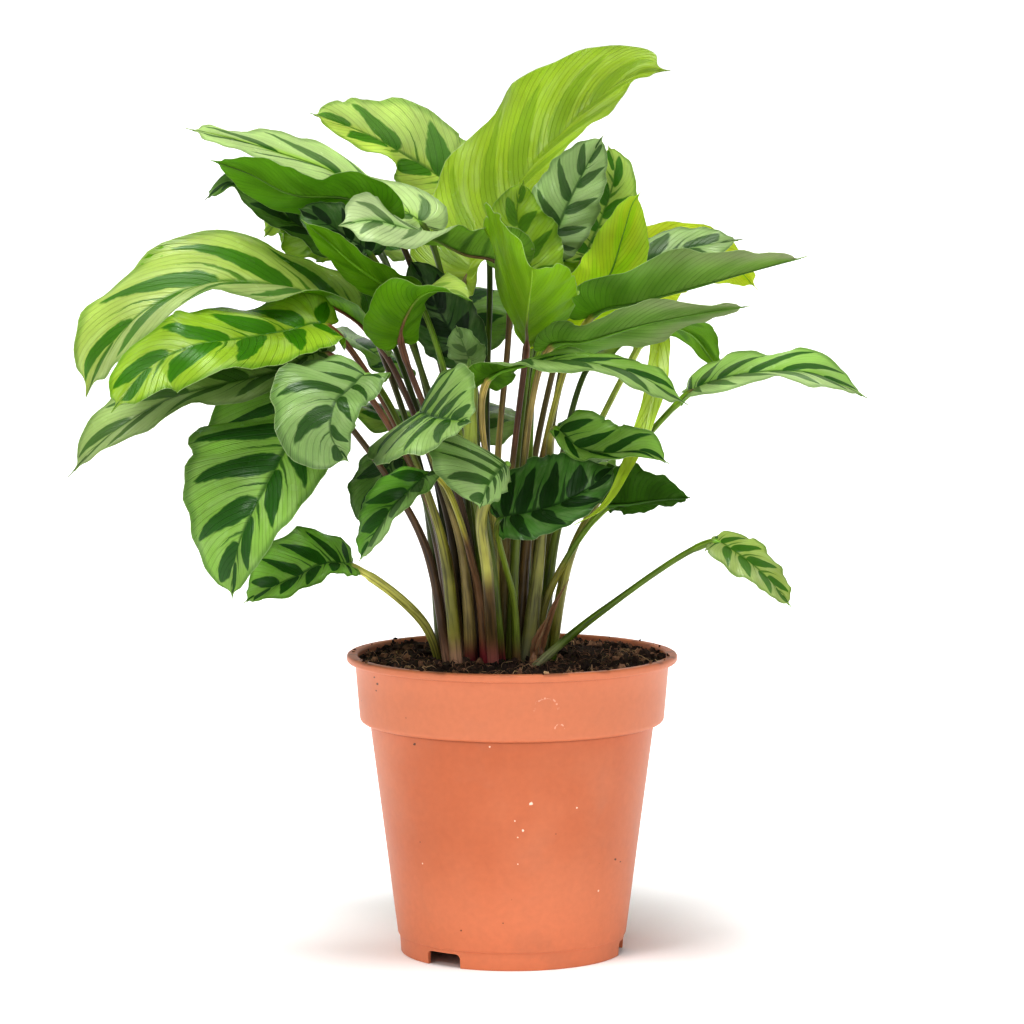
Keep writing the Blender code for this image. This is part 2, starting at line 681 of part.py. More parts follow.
        face=((0, 0.45, 0.9), (0, 0.75, 0.6)), half=(22, 24), tone="pale",
    ),
    Leaf(
        "leaf_back_high",
        root=(-3.9, 17.1),
        rib=[(16, 72, 288), (20, 100, 302), (22, 124, 300), (22, 142, 284)],
        face=((0, 0.1, 1), (0, 0.8, 0.6)), half=(20, 22), tone="young",
    ),
    Leaf(
        "leaf_back_right_high",
        root=(-22.5, 17.1),
        rib=[(-58, 84, 294), (-76, 104, 308), (-92, 120, 308), (-104, 132, 294)],
        face=((-0.2, 0.4, 0.9), (-0.5, 0.6, 0.6)), half=(20, 22), tone="fresh",
    ),
    Leaf(
        "leaf_back_left_high",
        root=(-0.8, 11.7),
        rib=[(20, 72, 300), (30, 94, 314), (38, 112, 316), (44, 124, 306)],
        face=((0.1, 0.1, 1), (0.4, 0.6, 0.7)), half=(17, 18), tone="silver",
    ),
    Leaf(
        "sheath_dry_tan",
        root=(8.5, -15.1),
        rib=[(9, -15, 127), (10, -18, 134), (13, -20, 141), (16, -22, 147)],
        face=((0, -0.9, 0.3), (0, -0.9, 0.3)), half=(4, 4), fold=(35, 35), spread=(35, 35),
        wave=(0.5, 2, 0), tone="dry",
    ),
    Leaf(
        "sheath_dry_red",
        root=(11.6, -9.7),
        rib=[(12, -10, 128), (14, -12, 138), (18, -16, 150), (24, -18, 161)],
        face=((0, -0.9, 0.3), (0, -0.9, 0.3)), half=(3.5, 4), fold=(45, 35), spread=(45, 35),
        wave=(0.5, 2, 0.3), tone="dry",
    ),
]


def make_object(name, points, faces, slot):
    """Mesh object from points in millimetres and faces, shaded smooth."""
    mesh = bpy.data.meshes.new(name)
    places = (np.asarray(points, float) * MM).tolist()
    mesh.from_pydata(places, [], [[int(corner) for corner in face] for face in faces])
    mesh.update()
    return finish_object(name, mesh, slot)


def finish_object(name, mesh, slot):
    """Object for a mesh, with its material and smooth shading."""
    mesh.shade_smooth()
    mesh.set_sharp_from_angle(angle=SMOOTH_ANGLE)
    thing = bpy.data.objects.new(name, mesh)
    thing.data.materials.append(slot)
    bpy.context.scene.collection.objects.link(thing)
    return thing


def material(name, colour, roughness):
    """Plain Principled material."""
    slot = bpy.data.materials.new(name)
    slot.use_nodes = True
    shader = slot.node_tree.nodes["Principled BSDF"]
    shader.inputs["Base Color"].default_value = (*colour, 1.0)
    shader.inputs["Roughness"].default_value = roughness
    shader.inputs["Metallic"].default_value = 0.0
    return slot


def turned(name, profile, slot):
    """Solid turned about Z from a profile of radius and height in millimetres."""
    shape = bmesh.new()
    corners = [shape.verts.new((radius * MM, 0.0, height * MM)) for radius, height in profile]
    edges = [shape.edges.new(pair) for pair in zip(corners[:-1], corners[1:])]
    bmesh.ops.spin(
        shape,
        geom=corners + edges,
        cent=(0.0, 0.0, 0.0),
        axis=(0.0, 0.0, 1.0),
        angle=2.0 * math.pi,
        steps=POT_SIDES,
        use_merge=True,
    )
    bmesh.ops.remove_doubles(shape, verts=shape.verts, dist=WELD * MM)
    bmesh.ops.recalc_face_normals(shape, faces=shape.faces)
    mesh = bpy.data.meshes.new(name)
    shape.to_mesh(mesh)
    shape.free()
    return finish_object(name, mesh, slot)


def prism(base, direction, length):
    """Closed prism from a ring of points along a direction: points and faces."""
    base = np.asarray(base, float)
    sides = len(base)
    points = np.concatenate([base, base + np.asarray(direction, float) * length])
    walls = [(i, (i + 1) % sides, sides + (i + 1) % sides, sides + i) for i in range(sides)]
    return points, [tuple(range(sides))[::-1], tuple(range(sides, 2 * sides)), *walls]


def ring(centre, across, up, radius, sides):
    """Points round a circle that turns from across to up."""
    turns = 2.0 * math.pi * (np.arange(sides) + 0.5) / sides
    spokes = np.cos(turns)[:, None] * np.asarray(across) + np.sin(turns)[:, None] * np.asarray(up)
    return np.asarray(centre) + radius * spokes


def cut(thing, name, solids):
    """Take a set of separate solids out of an object."""
    points, faces = [], []
    for solid_points, solid_faces in solids:
        start = sum(len(part) for part in points)
        points.append(solid_points)
        faces += [tuple(corner + start for corner in face) for face in solid_faces]
    cutter = make_object(name, np.concatenate(points), faces, thing.data.materials[0])
    shape = bmesh.new()
    shape.from_mesh(cutter.data)
    bmesh.ops.recalc_face_normals(shape, faces=shape.faces)
    shape.to_mesh(cutter.data)
    shape.free()
    cutter.hide_render = True
    cutter.display_type = "WIRE"
    boolean = thing.modifiers.new(name, "BOOLEAN")
    boolean.operation = "DIFFERENCE"
    boolean.solver = "EXACT"
    boolean.use_self = True
    boolean.object = cutter


def pot_profile():
    """Half section of the pot: foot, body, ledge, collar and lip outside, then the inside."""
    inner_collar = COLLAR_LOW_RADIUS - WALL
    inner_body = BODY_TOP_RADIUS - WALL
    lip_low = POT_HEIGHT - LIP_HEIGHT
    foot_inside = FOOT_RADIUS - FOOT_THICK
    floor_radius = BODY_LOW_RADIUS - WALL
    corner = CORNER_SHARE * LEDGE_ROUND
    return (
        (0.0, 0.0),
        (MIDDLE_FOOT_RADIUS, 0.0),
        (MIDDLE_FOOT_RADIUS - MIDDLE_FOOT_TAPER, FLOOR_HEIGHT),
        (foot_inside, FLOOR_HEIGHT),
        (foot_inside, 0.0),
        (FOOT_RADIUS, 0.0),
        (FOOT_RADIUS + STEP_OUT, FOOT_HEIGHT),
        (BODY_LOW_RADIUS, FOOT_HEIGHT + STEP_OUT),
        (BODY_TOP_RADIUS, LEDGE_HEIGHT),
        (COLLAR_LOW_RADIUS - LEDGE_ROUND, LEDGE_HEIGHT),
        (COLLAR_LOW_RADIUS - corner, LEDGE_HEIGHT + corner),
        (COLLAR_LOW_RADIUS, LEDGE_HEIGHT + LEDGE_ROUND),
        (COLLAR_TOP_RADIUS, lip_low),
        (LIP_RADIUS - LIP_ROUND, lip_low),
        (LIP_RADIUS, lip_low + LIP_ROUND),
        (LIP_RADIUS, POT_HEIGHT - LIP_ROUND),
        (LIP_RADIUS - LIP_ROUND, POT_HEIGHT),
        (COLLAR_TOP_RADIUS - WALL + LIP_ROUND, POT_HEIGHT),
        (COLLAR_TOP_RADIUS - WALL, POT_HEIGHT - LIP_ROUND),
        (inner_collar, LEDGE_HEIGHT + LEDGE_ROUND),
        (inner_body, LEDGE_HEIGHT + WALL / 2.0),
        (floor_radius, FLOOR_HEIGHT + FLOOR_THICK),
        (0.0, FLOOR_HEIGHT + FLOOR_THICK),
    )


def notch_cutters():
    """Drainage notches through the foot ring, with rounded upper corners."""
    half, top, bend = NOTCH_WIDTH / 2.0, NOTCH_HEIGHT, NOTCH_ROUND
    outline = [(-half, -CUT_PAST), (half, -CUT_PAST)]
    for turn in (0.0, 45.0, 90.0):
        angle = math.radians(turn)
        outline.append((half - bend + bend * math.cos(angle), top - bend + bend * math.sin(angle)))
    for turn in (90.0, 135.0, 180.0):
        angle = math.radians(turn)
        outline.append((-half + bend + bend * math.cos(angle), top - bend + bend * math.sin(angle)))
    solids = []
    for azimuth in NOTCH_AZIMUTHS:
        angle = math.radians(azimuth)
        outward = np.array([math.cos(angle), math.sin(angle), 0.0])
        sideways = np.array([-math.sin(angle), math.cos(angle), 0.0])
        start = outward * (FOOT_RADIUS - NOTCH_REACH)
        base = [start + sideways * side + np.array([0.0, 0.0, rise]) for side, rise in outline]
        solids.append(prism(base, outward, 2.0 * NOTCH_REACH))
    return solids


def drain_cutters():
    """Drain holes through the raised floor."""
    solids = []
    for hole in range(DRAIN_COUNT):
        angle = 2.0 * math.pi * (hole + 0.5) / DRAIN_COUNT
        centre = (DRAIN_CIRCLE * math.cos(angle), DRAIN_CIRCLE * math.sin(angle), FLOOR_HEIGHT - CUT_PAST)
        base = ring(centre, (1.0, 0.0, 0.0), (0.0, 1.0, 0.0), DRAIN_RADIUS, DRAIN_SIDES)
        solids.append(prism(base, (0.0, 0.0, 1.0), FLOOR_THICK + 2.0 * CUT_PAST))
    return solids


def make_pot(slot):
    """Moulded pot with a stepped collar, notches in its foot ring and drain holes."""
    pot = turned("pot", pot_profile(), slot)
    cut(pot, "pot_notch_cutter", notch_cutters())
    cut(pot, "pot_drain_cutter", drain_cutters())


def soil_height(radius, turn):
    """Height of the soil's top: a low mound behind the crown, with soft lumps."""
    wide, small = SOIL_LUMPS
    lumps = wide * math.sin(3.0 * turn) + small * math.sin(7.0 * turn + radius)
    share = 1.0 - (radius / SOIL_RADIUS) ** 2
    mound = SOIL_MOUND * share * max(0.0, math.sin(turn))
    return SOIL_EDGE_HEIGHT + (SOIL_CROWN_HEIGHT - SOIL_EDGE_HEIGHT) * share + mound + lumps * share


def soil_profile():
    """Side of the soil from its bottom up, just inside the pot's wall."""
    gap = WALL + SOIL_GAP
    low = FLOOR_HEIGHT + FLOOR_THICK + SOIL_GAP
    rise = LEDGE_HEIGHT + WALL / 2.0
    taper = (COLLAR_TOP_RADIUS - COLLAR_LOW_RADIUS) / (POT_HEIGHT - LEDGE_HEIGHT)
    edge = COLLAR_LOW_RADIUS - gap + taper * (SOIL_EDGE_HEIGHT - LEDGE_HEIGHT - LEDGE_ROUND)
    rings = [(SOIL_RADIUS * share, SOIL_EDGE_HEIGHT) for share in SOIL_RING_SHARES]
    return (
        (0.0, low),
        (BODY_LOW_RADIUS - gap - SOIL_GAP, low),
        (BODY_TOP_RADIUS - gap, rise),
        (COLLAR_LOW_RADIUS - gap, LEDGE_HEIGHT + LEDGE_ROUND + SOIL_GAP),
        (edge, SOIL_EDGE_HEIGHT),
        *rings,
        (0.0, SOIL_EDGE_HEIGHT),
    )


def stalk_holes():
    """A plain hole in the soil along the foot of each stalk."""
    solids = []
    radius = (SHEATH_RADIUS + HOLE_GAP) / math.cos(math.pi / HOLE_SIDES)
    for leaf in LEAVES:
        track = Track(leaf)
        base = np.concatenate(blade_rings(leaf, track)[0])
        foot, knee = (np.mean(np.concatenate(pair), 0) for pair in stalk_rings(track, base)[:2])
        line = unit(knee - foot)
        side = unit(np.cross(line, (0.0, 1.0, 0.0)))
        base = ring(foot - line * HOLE_GAP, side, np.cross(line, side), radius, HOLE_SIDES)
        solids.append(prism(base, line, HOLE_LENGTH))
    return solids


def make_soil(slot):
    """Soil that fills the pot to just under its lip."""
    soil = turned("soil", soil_profile(), slot)
    top = (SOIL_EDGE_HEIGHT - WALL) * MM
    for vertex in soil.data.vertices:
        if vertex.co.z > top:
            radius = math.hypot(vertex.co.x, vertex.co.y) / MM
            turn = math.atan2(vertex.co.y, vertex.co.x)
            if radius < SOIL_RADIUS * SOIL_FLAT_EDGE:
                vertex.co.z = soil_height(radius, turn) * MM
    cut(soil, "soil_stalk_cutter", stalk_holes())


def make_leaves():
    """Every leaf and dry sheath, with one material to each tone."""
    slots = {name: material(f"leaf_{name}", colour, LEAF_ROUGHNESS) for name, colour in TONES.items()}
    for leaf in LEAVES:
        points, triangles = leaf_mesh(leaf)
        make_object(leaf.name, points, triangles, slots[leaf.tone])


def main():
    """Clear the scene and build the plant in its pot."""
    for thing in list(bpy.data.objects):
        bpy.data.objects.remove(thing, do_unlink=True)
    make_pot(material("pot_plastic", POT_COLOUR, POT_ROUGHNESS))
    make_soil(material("soil", SOIL_COLOUR, SOIL_ROUGHNESS))
    make_leaves()


main()
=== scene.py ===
"""Looks of the potted calathea: finer leaves, stalks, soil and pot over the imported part.

Lengths of leaves, soil and pot are in millimetres and scaled once, in the part's own frame:
+Z up, the origin under the middle of the pot, the plant's front towards -Y.
"""

import math
from dataclasses import dataclass

import bmesh
import bpy
import numpy as np
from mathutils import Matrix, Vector, noise


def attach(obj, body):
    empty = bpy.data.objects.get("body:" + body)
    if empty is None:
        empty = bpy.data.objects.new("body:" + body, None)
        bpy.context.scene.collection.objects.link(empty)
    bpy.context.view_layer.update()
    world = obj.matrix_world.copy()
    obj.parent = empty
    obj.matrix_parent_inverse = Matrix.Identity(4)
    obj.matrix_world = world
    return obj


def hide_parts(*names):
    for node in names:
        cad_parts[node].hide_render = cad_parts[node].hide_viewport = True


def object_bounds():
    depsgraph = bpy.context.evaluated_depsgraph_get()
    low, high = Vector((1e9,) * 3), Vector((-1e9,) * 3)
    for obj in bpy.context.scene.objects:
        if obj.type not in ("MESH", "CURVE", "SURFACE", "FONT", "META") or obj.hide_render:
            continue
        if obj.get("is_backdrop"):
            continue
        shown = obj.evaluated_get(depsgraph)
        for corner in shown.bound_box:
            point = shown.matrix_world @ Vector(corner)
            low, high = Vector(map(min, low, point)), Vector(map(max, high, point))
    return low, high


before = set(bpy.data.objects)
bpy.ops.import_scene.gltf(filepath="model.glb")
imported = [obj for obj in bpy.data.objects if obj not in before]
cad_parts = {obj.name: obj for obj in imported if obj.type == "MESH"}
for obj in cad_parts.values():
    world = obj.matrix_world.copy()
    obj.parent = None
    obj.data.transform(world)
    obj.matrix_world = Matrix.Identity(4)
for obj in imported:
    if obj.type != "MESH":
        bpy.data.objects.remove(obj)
PACKED_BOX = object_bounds()

MM = 0.001
# Sharpest turns that are still shaded smooth, in degrees
SMOOTH_ANGLE = 50.0
POT_SMOOTH_ANGLE = 35.0

# Blade outline, in shares of its length and half width: where the side vein leaves the midrib,
# then where it meets the margin, along and across
OUTLINE = (
    (0.000, 0.000, 0.00),
    (0.012, -0.055, 0.30),
    (0.040, -0.030, 0.62),
    (0.100, 0.090, 0.88),
    (0.180, 0.240, 0.98),
    (0.290, 0.400, 1.00),
    (0.420, 0.550, 0.94),
    (0.560, 0.700, 0.79),
    (0.710, 0.830, 0.56),
    (0.860, 0.930, 0.27),
    (1.000, 1.000, 0.00),
)
WIDEST_ROW = 0.5
VEIN_BEND = 1.4
LEAN_SHARE = 0.12
FOLD_EASE = 0.8
# How far the waves of the two margins are out of step, in turns
WAVE_SHIFT = 0.35
TIP_HALF_WIDTH = 0.15

# Line of a leaf
ROOT_HEIGHT = 115.0
TRACK_STEPS = 24
RISE_OUT = 0.22
RISE_UP = 0.5

# Fine blade and stalk
FINE_ROWS = 64
FIRST_ROW = 0.012
LAST_ROW = 0.998
END_CROWDING = 0.4
RIB_CROWDING = 1.3
FINE_ACROSS = 11
BLADE_HALF_THICK = 0.2
MARGIN_HALF_THICK = 0.08
PLEAT_HEIGHT = 0.7
GROOVE_DEPTH = 0.25
GROOVE_WIDTH = 1.4
FULL_HALF_WIDTH = 25.0
MARGIN_LIGHT = 0.10
FRILL_HEIGHT = 1.3
FRILL_COUNTS = (5.3, 11.9)
SCALLOP = 0.03
SCALLOP_COUNT = 6.7
TAIL_START = 0.90
TAIL_WIDTH = 0.3
DRY_WIDTH = 0.5
STALK_SIDES = 12
STALK_RINGS = 44
SHEATH_RADIUS = 2.6
SHEATH_SHARE = 0.68
SHEATH_FLAT = 0.25
FOOT_RISE = 11.0
SHEATH_RIBS = 0.06
STALK_RADIUS = 1.3
JOINT_RADIUS = 1.6
JOINT_LENGTH = 9.0
RIB_RADIUS = 0.75
RIB_TIP_RADIUS = 0.15
RIB_END = 0.97
RIB_RINGS = 36
RIB_MERGE = 6.0
STALK_DARKEST = 0.55
STALK_RANGE = 0.85
# Painted shade: stalks get darker from the first of these to the second, front to rear, where the crown
# shades the rear ones
BACK_ROWS = (-6.0, 12.0)
BACK_SHADE = 0.6
# The foot of a stalk is shaded up to between these heights over its root
FOOT_SHADOW = (6.0, 14.0)
FOOT_SHADE = 0.3
JOINT_LIGHT = 1.25
RIB_LIGHT = 1.1
STREAK_SLOWNESS = 0.018
STREAK_DARK = 0.38
GOLDEN = 0.618

# Pot
POT_HEIGHT = 127.4
POT_SIDES = 192
WALL = 1.3
LIP_RADIUS = 70.0
LIP_HEIGHT = 3.3
LIP_ROUND = 1.1
COLLAR_TOP_RADIUS = 66.7
COLLAR_LOW_RADIUS = 64.6
LEDGE_HEIGHT = 98.4
LEDGE_ROUND = 2.4
BODY_TOP_RADIUS = 60.3
BODY_LOW_RADIUS = 48.6
FOOT_RADIUS = 47.3
FOOT_HEIGHT = 7.6
FOOT_THICK = 1.6
FLOOR_HEIGHT = 7.0
FLOOR_THICK = 1.6
MIDDLE_FOOT_RADIUS = 13.0
NOTCH_AZIMUTHS = (232.5, 352.5, 112.5)
NOTCH_WIDTH = 17.0
NOTCH_HEIGHT = 6.0
NOTCH_ROUND = 2.0
NOTCH_REACH = 8.0
DRAIN_COUNT = 6
DRAIN_RADIUS = 3.5
DRAIN_CIRCLE = 34.0
DRAIN_SIDES = 24
POT_ROW = 12.0
EDGE_ROUND = 0.5
POT_COLOUR = (0.45, 0.117, 0.041)
# Paler tone of the plastic, in random clouds, and as painted light over the whole collar
POT_PALE = (0.51, 0.165, 0.076)
# Painted light from the floor: the pot is made lighter towards its foot, fading out up to a height
POT_BOUNCE_LIGHT_COLOUR = (0.62, 0.195, 0.088)
POT_BOUNCE_LIGHT_HEIGHT = 60.0
POT_DUST = (0.38, 0.145, 0.08)
SCUFF_COLOUR = (0.90, 0.70, 0.58)
# Colour of the painted shadow under edges
EDGE_SHADOW_COLOUR = (0.16, 0.035, 0.012)
# Painted shadow under the ledge and the lip: height of the edge, how far down, and how much
POT_EDGE_SHADOWS = ((98.4, 1.3, 0.75), (124.1, 0.9, 0.6))
# Scratches on the pot's front: middle across and up, radius and width
SCRATCHES = (((14.0, 112.2), 5.0, 0.7), ((19.6, 104.0), 2.0, 0.5))
# Specks on the pot's front: across, up and radius
PALE_SPOTS = (
    (7.8, 72.1, 1.1),
    (26.9, 69.3, 0.6),
    (1.2, 64.8, 0.5),
    (4.5, 60.7, 0.8),
    (2.4, 57.8, 0.5),
    (2.4, 46.3, 0.4),
)
DARK_SPOTS = (
    (-40.4, 95.0, 0.9),
    (-56.0, 119.0, 0.8),
    (-57.3, 121.5, 0.6),
    (-56.6, 116.0, 0.5),
    (-21.2, 16.8, 0.6),
    (-3.7, 20.9, 0.4),
    (43.3, 44.3, 0.7),
    (45.5, 42.6, 0.5),
)
# Specks all round: how close, how large, colour and strength
POT_SPECKS = (
    (160.0, 0.045, (0.12, 0.04, 0.02), 0.8),
    (110.0, 0.04, (0.95, 0.75, 0.62), 0.7),
)
SPECK_RARITY = 0.86

# Soil
SOIL_EDGE_HEIGHT = 124.0
SOIL_CROWN_HEIGHT = 125.3
SOIL_MOUND = 3.6
# Rise, size and layer of the lumps and grains
SOIL_LUMPS = ((1.9, 9.0, 0.0), (1.3, 3.6, 5.0), (1.1, 1.5, 9.0))
SOIL_RADIUS = 64.8
SOIL_GAP = 0.3
SOIL_RINGS = 60
SOIL_SPOKES = 240
CRUMB_SEED = 11
CRUMB_COUNT = 1500
CRUMB_FLATTEST = 0.35
CRUMB_ROUGH = 1.2
CRUMB_GRAIN = 2.4
# Shares of crumbs that are dark, and dark or brown. The rest is tan
CRUMB_SHARES = (0.68, 0.985)
CRUMB_TONES = (0.6, 1.5)
CRUMB_SMALL = 0.45
CRUMB_LARGE = 2.6
EDGE_CRUMB_EVERY = 4
EDGE_CRUMB_RADII = (57.0, 64.4)
RIM_CRUMBS = 40
RIM_CRUMB_RADII = (66.0, 68.6)
RIM_CRUMB_SCALE = 0.55
FIBRE_SEED = 23
FIBRE_COUNT = 320
FIBRE_SIDES = 5
FIBRE_STEPS = 7
FIBRE_SPREAD = 62.0
FIBRE_LENGTHS = (3.0, 12.0)
FIBRE_RADII = (0.08, 0.24)
FIBRE_TAPER = 0.6
FIBRE_LIFTS = (0.3, 2.2)
FIBRE_BEND = 0.25
FIBRE_TONES = (0.6, 1.6)
TAN_FIBRES = 0.3
SOIL_DARK = (0.024, 0.012, 0.008)
SOIL_BROWN = (0.15, 0.078, 0.046)
SOIL_TAN = (0.36, 0.23, 0.13)

# Camera and light
CAMERA_PLACE = (0.0, -1.850, 0.373)
CAMERA_DOWN = 5.73
LENS = 154.7
SENSOR = 36.0
FLOOR_SPREAD = 40000.0
FLOOR_COLOUR = (0.97, 0.97, 0.97)
EXPOSURE = 0.17
PICTURE_GAMMA = 0.87
# The surround is white near the horizon and darker overhead: brightness, and where it falls off
HORIZON_LIGHT = 1.03
ZENITH_LIGHT = 0.25
HORIZON_EDGE = 0.16
ZENITH_EDGE = 0.6
# Soft key light: direction it shines in, width of its disc in degrees, and strength
KEY_DIRECTION = (0.12, 0.24, -1.25)
KEY_WIDTH = 34.0
KEY_STRENGTH = 3.8
# Name, place, width and height, and power
STUDIO_LIGHTS = (
    ("top_light", (-0.5, 0.1, 1.4), (0.5, 0.5), 4.0),
    ("side_light", (1.1, -0.9, 0.8), (0.4, 0.7), 2.5),
    ("front_light", (-1.0, -1.3, 1.3), (0.35, 0.35), 6.0),
)
LIGHT_AIM = (0.0, 0.0, 0.22)

# Marking of the blades
COLOUR_NAMES = ("ground", "band")
HALF_OFFSET = 0.4
# Bands: width, what a draw adds to it, form of the ends, and how far draws shift, shorten and
# roughen them
BAND_WIDTH = 1.38
BAND_WIDER = 0.45
BAND_POINT = 0.78
BAND_SHIFT = 0.14
BAND_SHORTER = 0.16
BAND_RAGGED = 0.14
BAND_SOFT = 0.028
SMALL_BANDS = 0.55
STRONG_VEINS = 7.0
WEAK_VEINS = 26.0
VEIN_DARK = 0.15
BLADE_PATCH = 0.7
# What the underside adds to or takes from soft edges, veins and streaks
UNDER_SOFT = 0.08
UNDER_VEIN = 0.06
UNDER_STREAK = 0.4
WAX_AND_SHEEN_LIGHTEST = 1.6
BAND_FILM = 0.3
MARGIN_LINE = (0.42, 0.52, 0.26)
GLOW_COLOUR = (1.0, 1.0, 0.42)
GLOW_SHARE = 0.44
LEAF_SHINE = 0.42
UNDER_SHINE = 0.08
# Share of pale streaks on the blade: wax, and painted sheen
WAX_AND_SHEEN_STREAK_SHARE = 0.5

SCENE = bpy.context.scene


@dataclass(frozen=True)
class Look:
    """How one leaf is marked."""

    bands: float = 5.0  # dark bands on each side of the midrib
    width: float = 0.24  # widest half width of a band, in shares of their spacing
    reach: float = 0.95  # how far the bands go from the midrib towards the margin
    sweep: float = 0.12  # how far the bands bend on towards the tip, in shares of the blade
    contrast: float = 1.0  # how much darker the bands are than the ground
    silver: tuple = (0.0, 0.0)  # grey wax on the left and right halves, partly painted sheen: the grey also stands for the sky's reflection
    pale: float = 0.0  # grey bloom on the underside, towards the margin and the tip
    bright: float = 1.0  # how light the whole blade is; on backlit leaves raised further as painted glow of light let through from behind
    warm: float = 0.0  # how far the green leans to yellow; on backlit leaves also painted glow
    hues: tuple = ("blush", "olive", "green")  # of the stalk at the soil, along it and at its top
    rib: str = "green"
    girth: float = 1.0  # how thick the sheath is
    stem: float = 1.0  # how thick the stalk is above the sheath
    body_end: float = 0.62  # where the stalk takes its upper colour, in shares of its length


@dataclass
class Leaf:
    """One leaf, in millimetres from the pot's axis at the floor.

    Of two half widths or angles, the first is for the left half of the blade.
    """

    name: str
    root: tuple  # where the stalk stands in the soil: x, y
    rib: list  # points that the midrib passes, from the joint to the tip
    face: tuple  # where the upper side looks, all along, or at the joint and at the tip
    half: tuple  # half widths
    stalk: list = None  # points that the stalk passes between the soil and the joint
    fold: float | tuple = 12  # how far each half is raised out of flat at the joint, in degrees
    spread: float | tuple = 12  # the same at the tip
    curl: float | tuple = -25  # further turn from midrib to margin, in degrees
    wave: tuple = (1.5, 3.0, 0.0)  # height, count and phase of the margin's waves
    tone: str = "mature"
    lobe: float = 1.0  # how far the basal lobes reach back
    taper: float = 1.2  # how drawn out the tip is
    look: Look = Look()


@dataclass
class Tone:
    """Colours of a blade: the light ground and dark bands above, and the same below."""

    ground: tuple
    band: tuple
    under: tuple
    under_band: tuple


@dataclass
class Part:
    """Share of a piece in one material: points in millimetres, faces, and paint by name."""

    points: np.ndarray
    faces: list
    paint: dict


TONES = {
    "young": Tone((0.31, 0.47, 0.03), (0.05, 0.20, 0.002), (0.27, 0.47, 0.015), (0.15, 0.34, 0.006)),
    "fresh": Tone((0.41, 0.52, 0.11), (0.06, 0.20, 0.006), (0.16, 0.36, 0.01), (0.10, 0.26, 0.006)),
    "pale": Tone((0.33, 0.44, 0.15), (0.08, 0.17, 0.03), (0.20, 0.35, 0.06), (0.13, 0.25, 0.03)),
    "mature": Tone((0.24, 0.42, 0.07), (0.02, 0.10, 0.004), (0.12, 0.27, 0.015), (0.08, 0.20, 0.008)),
    "silver": Tone((0.26, 0.41, 0.13), (0.035, 0.11, 0.012), (0.18, 0.32, 0.05), (0.11, 0.22, 0.03)),
    "dark": Tone((0.10, 0.22, 0.025), (0.016, 0.07, 0.004), (0.09, 0.21, 0.01), (0.065, 0.16, 0.008)),
    # Painted shade: darker colours for leaves that lie in the crown's shade
    "shade": Tone((0.06, 0.16, 0.025), (0.008, 0.04, 0.003), (0.04, 0.12, 0.006), (0.025, 0.08, 0.004)),
    "dry": Tone((0.42, 0.22, 0.12), (0.20, 0.09, 0.05), (0.42, 0.22, 0.12), (0.20, 0.09, 0.05)),
}

STALK_COLOURS = {
    "blush": (0.60, 0.34, 0.23),
    "wine": (0.20, 0.018, 0.03),
    "rose": (0.42, 0.13, 0.11),
    "tan": (0.32, 0.24, 0.07),
    "brown": (0.13, 0.078, 0.022),
    "purple": (0.11, 0.055, 0.022),
    "olive": (0.22, 0.21, 0.03),
    "straw": (0.36, 0.35, 0.08),
    "lime": (0.33, 0.40, 0.06),
    "green": (0.14, 0.24, 0.012),
    "moss": (0.11, 0.15, 0.012),
    "red": (0.17, 0.068, 0.028),
    "white": (0.50, 0.50, 0.26),
    "dry": (0.38, 0.20, 0.11),
}
# Grey of the waxy coat, which also serves as painted sheen
WAX_AND_SHEEN_COLOUR = (0.42, 0.50, 0.27)
BLOOM_COLOUR = (0.40, 0.42, 0.26)
LIGHTEST = (0.70, 0.80, 0.45)

